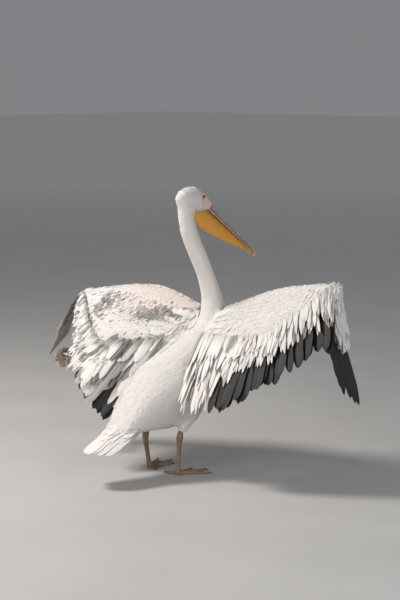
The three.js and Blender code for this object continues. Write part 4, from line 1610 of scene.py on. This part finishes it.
def arm_row(wing, aft, count, span, length, half, top=1, rise=0.10, loose=0.08, lift=0.0,
            hang=None, pull=0.0, **more):
    """A row of feathers rooted along the arm's upper or lower face.

    `aft` is the row's place from the leading edge (-1) to the trailing one (1), `hang` how much
    of its way is the hanging one, and `pull` how strongly it parts into locks.
    """
    t = np.linspace(*span, count) + chance.normal(0, 0.3 * (span[1] - span[0]) / count, count)
    t = np.clip(t, 0.005, 0.995)
    middle, chord, upper, half_chord, radius = arm(wing, t)
    a = aft + chance.normal(0, 0.035, (count, 1))
    thick = mix(EDGE_RADIUS, radius * 0.85, (a + 1) / 2) * np.sqrt(np.clip(1 - a * a, 0.02, 1))
    outward = unit(upper * top + chord * 0.35 * max(aft, -0.2) - chord * 0.8 * max(-aft - 0.5, 0))
    root = middle + chord * a * half_chord + upper * (top * thick + lift)
    places, _, _ = nearest(skin_tree, root)
    snapped = np.linalg.norm(places - root, axis=1, keepdims=True) < 0.012
    root = np.where(snapped & (abs(lift) < 1e-6), places, root)
    share = smooth(aft, -0.5, 0.9) if hang is None else hang
    way = into_locks(wing, t, unit(mix(chord, hanging(wing, t), share)), outward, pull)
    sizes = by_span(t, (0.05, 0.5, 0.97), length) if np.ndim(length) else length
    way = wander(way, outward, loose)
    sizes, halves = sizes * varied(count, 0.14), half * varied(count, 0.15)
    rises = rise * varied(count, 0.5)
    twist, sweep = chance.normal(0.04, 0.06, count), chance.normal(0, 0.04, count)
    return tract(root, way, outward, sizes, halves, rises, rise * 0.8, twist, sweep, **more)


def left_markings(t, aft):
    """On the left wing: how much painted shade lies in the hollow under the arm, how streaked it is, and how
    pink.
    """
    fold = smooth(np.abs(aft + 0.50 - 0.55 * np.minimum(t, 0.4)), 0.30, 0.06)
    hollow = fold * smooth(t, 0.0, 0.05) * smooth(t, 0.64, 0.30)
    streaks = smooth(np.abs(t - 0.83), 0.26, 0.08) * smooth(np.abs(aft + 0.05), 0.85, 0.40)
    flesh = smooth(t, 0.80, 0.50) * smooth(aft, -0.25, -0.55)
    return hollow, streaks, flesh


def covert_tones(side, t, aft, top):
    """White, with painted shade on some feathers of the back rows, and on the upper face of the left wing a
    pink arm, painted shade in the hollow and dark streaks.
    """
    back = float(smooth(aft, -0.7, 1.0))
    tone = whites(len(t), 0.15, mix(0.02, 0.07, back))
    # Painted shade: a share of the feathers, growing towards the back rows, turns dark where the gaps between
    # locks lie in shade.
    shade = 0.15 * back ** 2 + 0 * t
    depth = 0.2 + 0.7 * chance.random(len(t))
    if side == "left" and top > 0:
        hollow, streaks, flesh = left_markings(t, aft)
        tone = mix(tone, PINK, 0.5 * flesh[:, None])
        # The painted shade is heaviest in the hollow under the left arm, with the streaks and a few flecks
        # over the rest of that face.
        shade = shade + 0.85 * streaks + 1.6 * hollow + 0.05 * (1 - flesh)
        depth = np.maximum(depth, (0.55 + 0.45 * chance.random(len(t))) * np.maximum(hollow, streaks))
    dark = (chance.random(len(t)) < shade)[:, None]
    return np.where(dark, mix(tone, PAINTED_SHADE, depth[:, None]), tone)


def covert_rows(side, top):
    """All rows of coverts on one face of a wing, from the leading edge backwards."""
    wing = WINGS[side]
    rows = []
    for aft in ROW_AFT:
        back = float(smooth(aft, -0.7, 1.0))
        size = mix(0.024, 0.092 if top > 0 else 0.060, back)
        made = arm_row(wing, aft, int(mix(118, 76, back)), ROW_SPAN, (size * 0.85, size, size * 0.75),
                       mix(0.0062, 0.0088, back), top, mix(0.05, 0.11, back), mix(0.03, 0.07, back),
                       pull=0.09 * back ** 2)
        made["twist"] *= back
        made["tone"] = covert_tones(side, np.linspace(*ROW_SPAN, len(made["root"])), aft, top)
        # On the upper face of the left wing the back rows darken more towards their roots, a painted shade
        # between the locks.
        if side == "left" and top > 0:
            made["base"] = np.full(len(made["root"]), mix(0.80, 0.35, back))
        rows.append(made)
    return laid(together(*rows), 0.0030)


for side in SIDES:
    large_feathers(f"coverts_upper_{side}", covert_rows(side, 1), rings=7, tip=0.40, jag=0.08)
    large_feathers(f"coverts_under_{side}", covert_rows(side, -1), rings=5, tip=0.45, jag=0.06)


CAP_ROWS = (0.80, 0.84, 0.88, 0.915, 0.94, 0.965, 0.985)


def wrist_cap(side):
    """Rows across the end of the forearm, which flow over the wrist on to the hand."""
    wing = WINGS[side]
    aft = np.linspace(-0.85, 1.0, 26)
    made = []
    for t in CAP_ROWS:
        middle, chord, upper, half_chord, _ = arm(wing, np.full(len(aft), t))
        root, out, _ = nearest(skin_tree, middle + chord * half_chord * aft[:, None] + upper * 0.03)
        way = unit(wing["palm"] + wing["trailing"] * mix(0.35, 0.8, smooth(aft, -0.5, 1.0))[:, None])
        length = np.interp(aft, (-0.85, 1.0), (0.046, 0.070)) * varied(len(aft), 0.12)
        way = wander(way, out, 0.08)
        made.append(tract(root, way, out, length, 0.0100, 0.10, 0.10, tone=whites(len(aft))))
    return laid(together(*made), 0.006, 0.035)


def arm_fuzz(side, spacing=0.0052):
    """Small flat feathers all over the arm and hand, which close every gap between rows."""
    wing = WINGS[side]
    root, out = sown([f"wing_{side}_{part}" for part in ("upper_arm", "forearm", "hand")], spacing)
    t = np.linspace(0, 1, 60)
    middle = arm(wing, t)[0]
    near = ((root[:, None] - middle[None]) ** 2).sum(-1).argmin(1)
    hand_share = smooth((root - wing["wrist"]) @ wing["palm"], -0.01, 0.03)[:, None]
    way = unit(mix(arm(wing, t[near])[1], wing["palm"] + 0.5 * wing["trailing"], hand_share))
    n = len(root)
    made = tract(root, wander(way, out, 0.12), out, 0.019 * varied(n, 0.2), 0.0050,
                 twist=chance.normal(0, 0.04, n), tone=whites(n))
    if side == "left":
        place, aft, over = wing_places(root, wing)
        # Painted shade: the small feathers in the hollow under the left arm turn dark, and those on its front
        # edge pink.
        hollow, _, flesh = left_markings(place, aft) * (over > 0)
        pinked = mix(made["tone"], PINK, 0.5 * flesh[:, None])
        depth = hollow * (0.75 + 0.25 * chance.random(n))
        made["tone"] = mix(pinked, PAINTED_SHADE, depth[:, None])
    return laid(made, 0.0018)


for side in SIDES:
    large_feathers(f"wrist_coverts_{side}", wrist_cap(side), rings=7, tip=0.45, jag=0.10)
    small_feathers(f"coat_arm_{side}", arm_fuzz(side), rings=3)
print("covert rows on each face of each wing:", ROWS)

# %% [markdown]
# ### The long feathers
# Behind the arm hang the greater coverts, white and ragged, over the black secondaries. Near
# the body the longest white feathers, the tertials and scapulars, stream down in layers and
# bridge the gap between wing and back. On the right hand grow eleven black primaries. The left
# hand bears a short pale bundle and a curled tuft. Each tract stands for one toothed sheet of
# the solid model, and hides it.

# %% Greater coverts, secondaries and scapulars
FORE = (0.37, 0.985)
INNER = (0.02, 0.44)
# On the left wing the long feathers keep only this share of their tone at the root, a painted shade between
# them.
LEFT_ROOT_SHADE = 0.40
SECONDARIES = 32


def outside_trunk(points, margin):
    """Moves points that lie in the trunk out to just over its surface."""
    places, out, _ = nearest(trunk_tree, points)
    return np.where(dot(points - places, out) < margin, places + out * margin, points)


def long_row(side, span, count, reach, half, share=1.0, lift=0.0, aft=1.0, loose=0.05,
             tone=None, pull=0.1):
    """Long feathers from behind the arm. `reach` gives their lengths from inside outwards."""
    wing = WINGS[side]
    knots = (span[0], (span[0] + span[1]) / 2, span[1])
    row_made = arm_row(wing, aft, count, span, 0.1, half, 1, 0.12, loose, lift, 1.0, pull)
    row_made["root"] = outside_trunk(row_made["root"], 0.003)
    t = np.linspace(*span, count)
    row_made["length"] = np.interp(t, knots, np.asarray(reach)) * share * varied(count, 0.09)
    row_made["tone"] = whites(count) if tone is None else tone
    if side == "left":
        row_made["base"][:] = LEFT_ROOT_SHADE
    return row_made


def mottled(n, grey_share, dark=GREY, warmth=0.15):
    """White feathers with some greyer ones among them."""
    tone = whites(n, warmth, 0.10)
    some = (chance.random(n) < grey_share)[:, None]
    return np.where(some, mix(tone, dark, 0.35 + 0.6 * chance.random((n, 1))), tone)


BLACK = np.array([0.011, 0.0100, 0.0095])
SILVER = (0.020, 0.019, 0.018)


def blacks(n):
    return BLACK * varied(n, 0.4)[:, None]


def inner_rows(side, streams, half, grey):
    """Four layers of scapulars and tertials, the longest lowest, a share `grey` of them darkened by painted
    shade.
    """
    layers = ((17, 1.00, 0.002, 0.98, half), (20, 0.86, 0.008, 0.92, half * 0.93),
              (24, 0.70, 0.013, 0.80, half * 0.86), (28, 0.54, 0.016, 0.62, half * 0.75))
    return [long_row(side, INNER, count, streams, wide, share, lift, aft, 0.05, mottled(count, grey, PAINTED_SHADE))
            for count, share, lift, aft, wide in layers]


def web_coat(side, spacing=0.0062):
    """Feathers on both faces of the fold between the wing and the back."""
    wing = WINGS[side]
    sheets = [web_places(wing, 110, np.linspace(-0.45, 1.25, 70))]
    sheets += [web_places(wing, 30, np.linspace(-0.4, 1.3, 40), aft, ROOT_SPAN) for aft in ROOT_AFT]
    places = np.concatenate([sheet[0].reshape(-1, 3) for sheet in sheets])
    t = np.concatenate([sheet[1].ravel() for sheet in sheets])
    upper = arm(wing, t)[2]
    both = np.concatenate([places + upper * 0.035, places - upper * 0.035])
    root, out, _ = nearest(skin_tree, both)
    order = chance.permutation(len(root))
    order = order[thinned(root[order], spacing)]
    t = np.tile(t, 2)[order]
    way = unit(lie(root[order], BODY_LINE) * 0.5 + hanging(wing, t))
    n = len(order)
    made = tract(root[order], wander(way, out[order], 0.08), out[order], 0.046 * varied(n, 0.2), 0.0105,
                 twist=chance.normal(0, 0.03, n), tone=whites(n, 0.2))
    return laid(made, 0.0045, 0.060)


# For each layer: count, half width, share of the length, lift, place aft and looseness.
COVERT_LAYERS = (
    (46, 0.0100, 1.00, 0.008, 0.98, 0.06),
    (52, 0.0092, 0.80, 0.012, 0.90, 0.07),
    (58, 0.0084, 0.62, 0.015, 0.80, 0.08),
)
for side, wing in WINGS.items():
    streams = np.linalg.norm(np.array(wing["scapulars"]), axis=1)
    coverts = np.array(wing["coverts"])
    # Painted shade: a share of the greater coverts and of the scapulars below turn dark, more on the left
    # wing.
    shade_share = 0.42 if side == "left" else 0.15
    layers = [long_row(side, FORE, count, coverts, half, share, lift, aft, loose, mottled(count, shade_share, PAINTED_SHADE))
              for count, half, share, lift, aft, loose in COVERT_LAYERS]
    large_feathers(f"greater_coverts_{side}", together(*layers), tip=0.35, jag=0.14)
    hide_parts(f"wing_{side}_coverts")
    wide, grey, tip = (0.0150, 0.45, 0.80) if side == "left" else (0.0128, 0.2, 0.50)
    rows = inner_rows(side, streams, wide, grey)
    large_feathers(f"scapulars_{side}", together(*rows), tip=tip, jag=0.08, clear=0.006)
    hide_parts(f"wing_{side}_scapulars")
    small_feathers(f"mantle_{side}", web_coat(side), rings=4, tip=0.55, arch=0.05)
    inner_end = 0.30 if side == "right" else 0.05
    row_made = long_row(side, (inner_end, 0.975), SECONDARIES, wing["secondaries"], 0.0205, 1.0,
                        -0.005, 0.98, 0.025, blacks(SECONDARIES), 0.03)
    row_made["twist"] = np.full(SECONDARIES, 0.08) * wing["sign"]
    large_feathers(f"secondaries_{side}", row_made, rings=20, tip=0.80, jag=0.05, dark=True,
                   strips=True, edge=SILVER, clear=0.004)
    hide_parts(f"wing_{side}_secondaries")

# %% Primaries and hand coverts
PRIMARIES = 11


def hand_row(side, shares, offsets, lift, count, ways, half, share=1.0, loose=0.04, **more):
    """A row of feathers along the inner side of the hand, from wrist to finger tip."""
    wing = WINGS[side]
    inward = unit(wing["trailing"] - wing["palm"] * (wing["trailing"] @ wing["palm"]))
    outward = np.cross(inward, wing["palm"]) * -wing["sign"]
    shares, offsets = np.array(shares)[:, None], np.array(offsets)[:, None]
    line = wing["wrist"] + wing["palm"] * shares * HAND + inward * offsets + outward * lift
    t = np.linspace(0, 1, count)
    way = by_span(t, (0, 0.5, 1), ways)
    out = np.tile(outward, (count, 1))
    length = np.linalg.norm(way, axis=1) * share * varied(count, 0.05)
    way = wander(unit(way), out, loose)
    return tract(curve(line, t), way, out, length, half, 0.10, 0.07, 0.12 * wing["sign"], **more)


# For each layer: count, places along the hand, places across it, lift, half width and share.
FRINGE_LAYERS = (
    (20, (0.05, 0.6, 1.0), (0.050, 0.040, 0.004), 0.003, 0.0090, 1.0),
    (24, (0.0, 0.55, 1.02), (0.030, 0.026, 0.0), 0.008, 0.0082, 0.85),
    (28, (-0.05, 0.5, 0.98), (0.012, 0.010, -0.006), 0.011, 0.0074, 0.65),
    (30, (-0.08, 0.4, 0.90), (-0.008, -0.006, -0.010), 0.010, 0.0066, 0.50),
    (20, (0.05, 0.6, 1.0), (0.040, 0.030, 0.002), -0.014, 0.0090, 1.0),
)
CURLS = 60
TUFT_FROM_FINGER = np.array([-0.088, 0.070, -0.098])


def curled_tuft(wing):
    """The short wing tip's feathers, which curl round one place like petals."""
    end = wing["wrist"] + wing["palm"] * HAND + TUFT_FROM_FINGER
    axis = unit(np.array([-0.55, 0.75, -0.35]))
    side_way = unit(np.cross(axis, [0, 0, 1.0]))
    turn = chance.random(CURLS) * 2 * np.pi
    round_way = np.cos(turn)[:, None] * side_way + np.sin(turn)[:, None] * np.cross(axis, side_way)
    tilt = mix(0.25, 1.0, np.sqrt(chance.random(CURLS)))[:, None]
    way = unit(round_way * tilt + axis * (1.05 - tilt))
    root = end + round_way * 0.010 * tilt
    out = unit(axis - way * dot(way, axis))
    length, half = 0.046 * varied(CURLS, 0.2), 0.0145 * varied(CURLS, 0.2)
    twist = chance.normal(0, 0.2, CURLS)
    return tract(root, way, out, length, half, 0.10, -0.55, twist, 0.0, mottled(CURLS, 0.15, PINK, 0.5))


for side, wing in WINGS.items():
    full = side == "right"
    half, rim = (0.0145, SILVER) if full else (0.0110, None)
    tones = blacks(PRIMARIES) if full else whites(PRIMARIES, 0.6)
    made = hand_row(side, (0.30, 0.75, 1.05), (0.040, 0.026, 0.0), -0.024, PRIMARIES,
                    wing["primaries"], half, tone=tones)
    large_feathers(f"primaries_{side}", made, rings=22, tip=0.70, jag=0.08, dark=full,
                   strips=True, edge=rim)
    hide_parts(f"wing_{side}_primaries")
    layers = []
    for count, shares, offsets, lift, wide, share in FRINGE_LAYERS:
        tone = mottled(count, 0.12)
        layers.append(hand_row(side, shares, offsets, lift, count, np.array(wing["fringe"]), wide,
                               share, 0.13, tone=tone))
    if side == "left":
        large_feathers("wing_tuft_left", curled_tuft(wing), rings=7, tip=0.72, jag=0.03)
    large_feathers(f"hand_coverts_{side}", together(*layers), tip=0.42, jag=0.12)
    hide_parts(f"wing_{side}_hand_coverts")

# %% Tail feathers
TAIL_ROOTS = np.stack([spot(0.056, 0.206, 0.200), spot(0, 0.222, 0.218), spot(-0.056, 0.206, 0.200)])
TAIL_WAYS = ((-0.004, 0.146, -0.080), (0, 0.178, -0.100), (0.004, 0.146, -0.080))
RECTRICES = 20


def tail_row(back, up, share, half, rise=0.06, loose=0.03):
    """A fan of tail feathers, or of the coverts over their roots."""
    count = RECTRICES
    t = np.linspace(0, 1, count)
    way = by_span(t, (0, 0.5, 1), TAIL_WAYS)
    out = unit(np.stack([(0.5 - t) * 0.9, 0.42 + 0 * t, 0.9 + 0 * t], 1))
    root = curve(TAIL_ROOTS, t) + unit(way) * back + out * up
    length = np.linalg.norm(way, axis=1) * share * varied(count, 0.03)
    way = wander(unit(way), out, loose)
    return tract(root, way, out, length, half, rise, 0.06, 0.0, tone=whites(count, 0.3))


tail = tail_row(0.0, 0.0, 1.0, 0.0205)
tail["twist"] = np.linspace(0.08, -0.08, RECTRICES)
large_feathers("tail_feathers", tail, rings=20, tip=0.80, jag=0.03, strips=True)
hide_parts("tail")
rows = []
for sign, count, longest in ((1, 6, 0.80), (-1, 5, 0.72)):
    for k in range(count):
        up, share = sign * (0.004 + 0.003 * k), longest - 0.10 * k
        rows.append(tail_row(-0.014 * k, up, share, 0.0150, sign * 0.03, 0.04))
large_feathers("tail_coverts", together(*rows), rings=7, tip=0.70, jag=0.03)
print("coat triangles so far:", sum(coat_triangles.values()))
for name, count in coat_triangles.items():
    print(" ", name, count)

# %% [markdown]
# ## Sizes and the end
# The visual model should stay close to the box of the solid one, so both boxes are printed side by side.

# %% Print both boxes and finish
boxes = {"cad": [list(corner) for corner in cad_box], "visual": [list(corner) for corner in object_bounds()]}
for name, (low, high) in boxes.items():
    print(name, [round(v, 4) for v in low], [round(v, 4) for v in high])
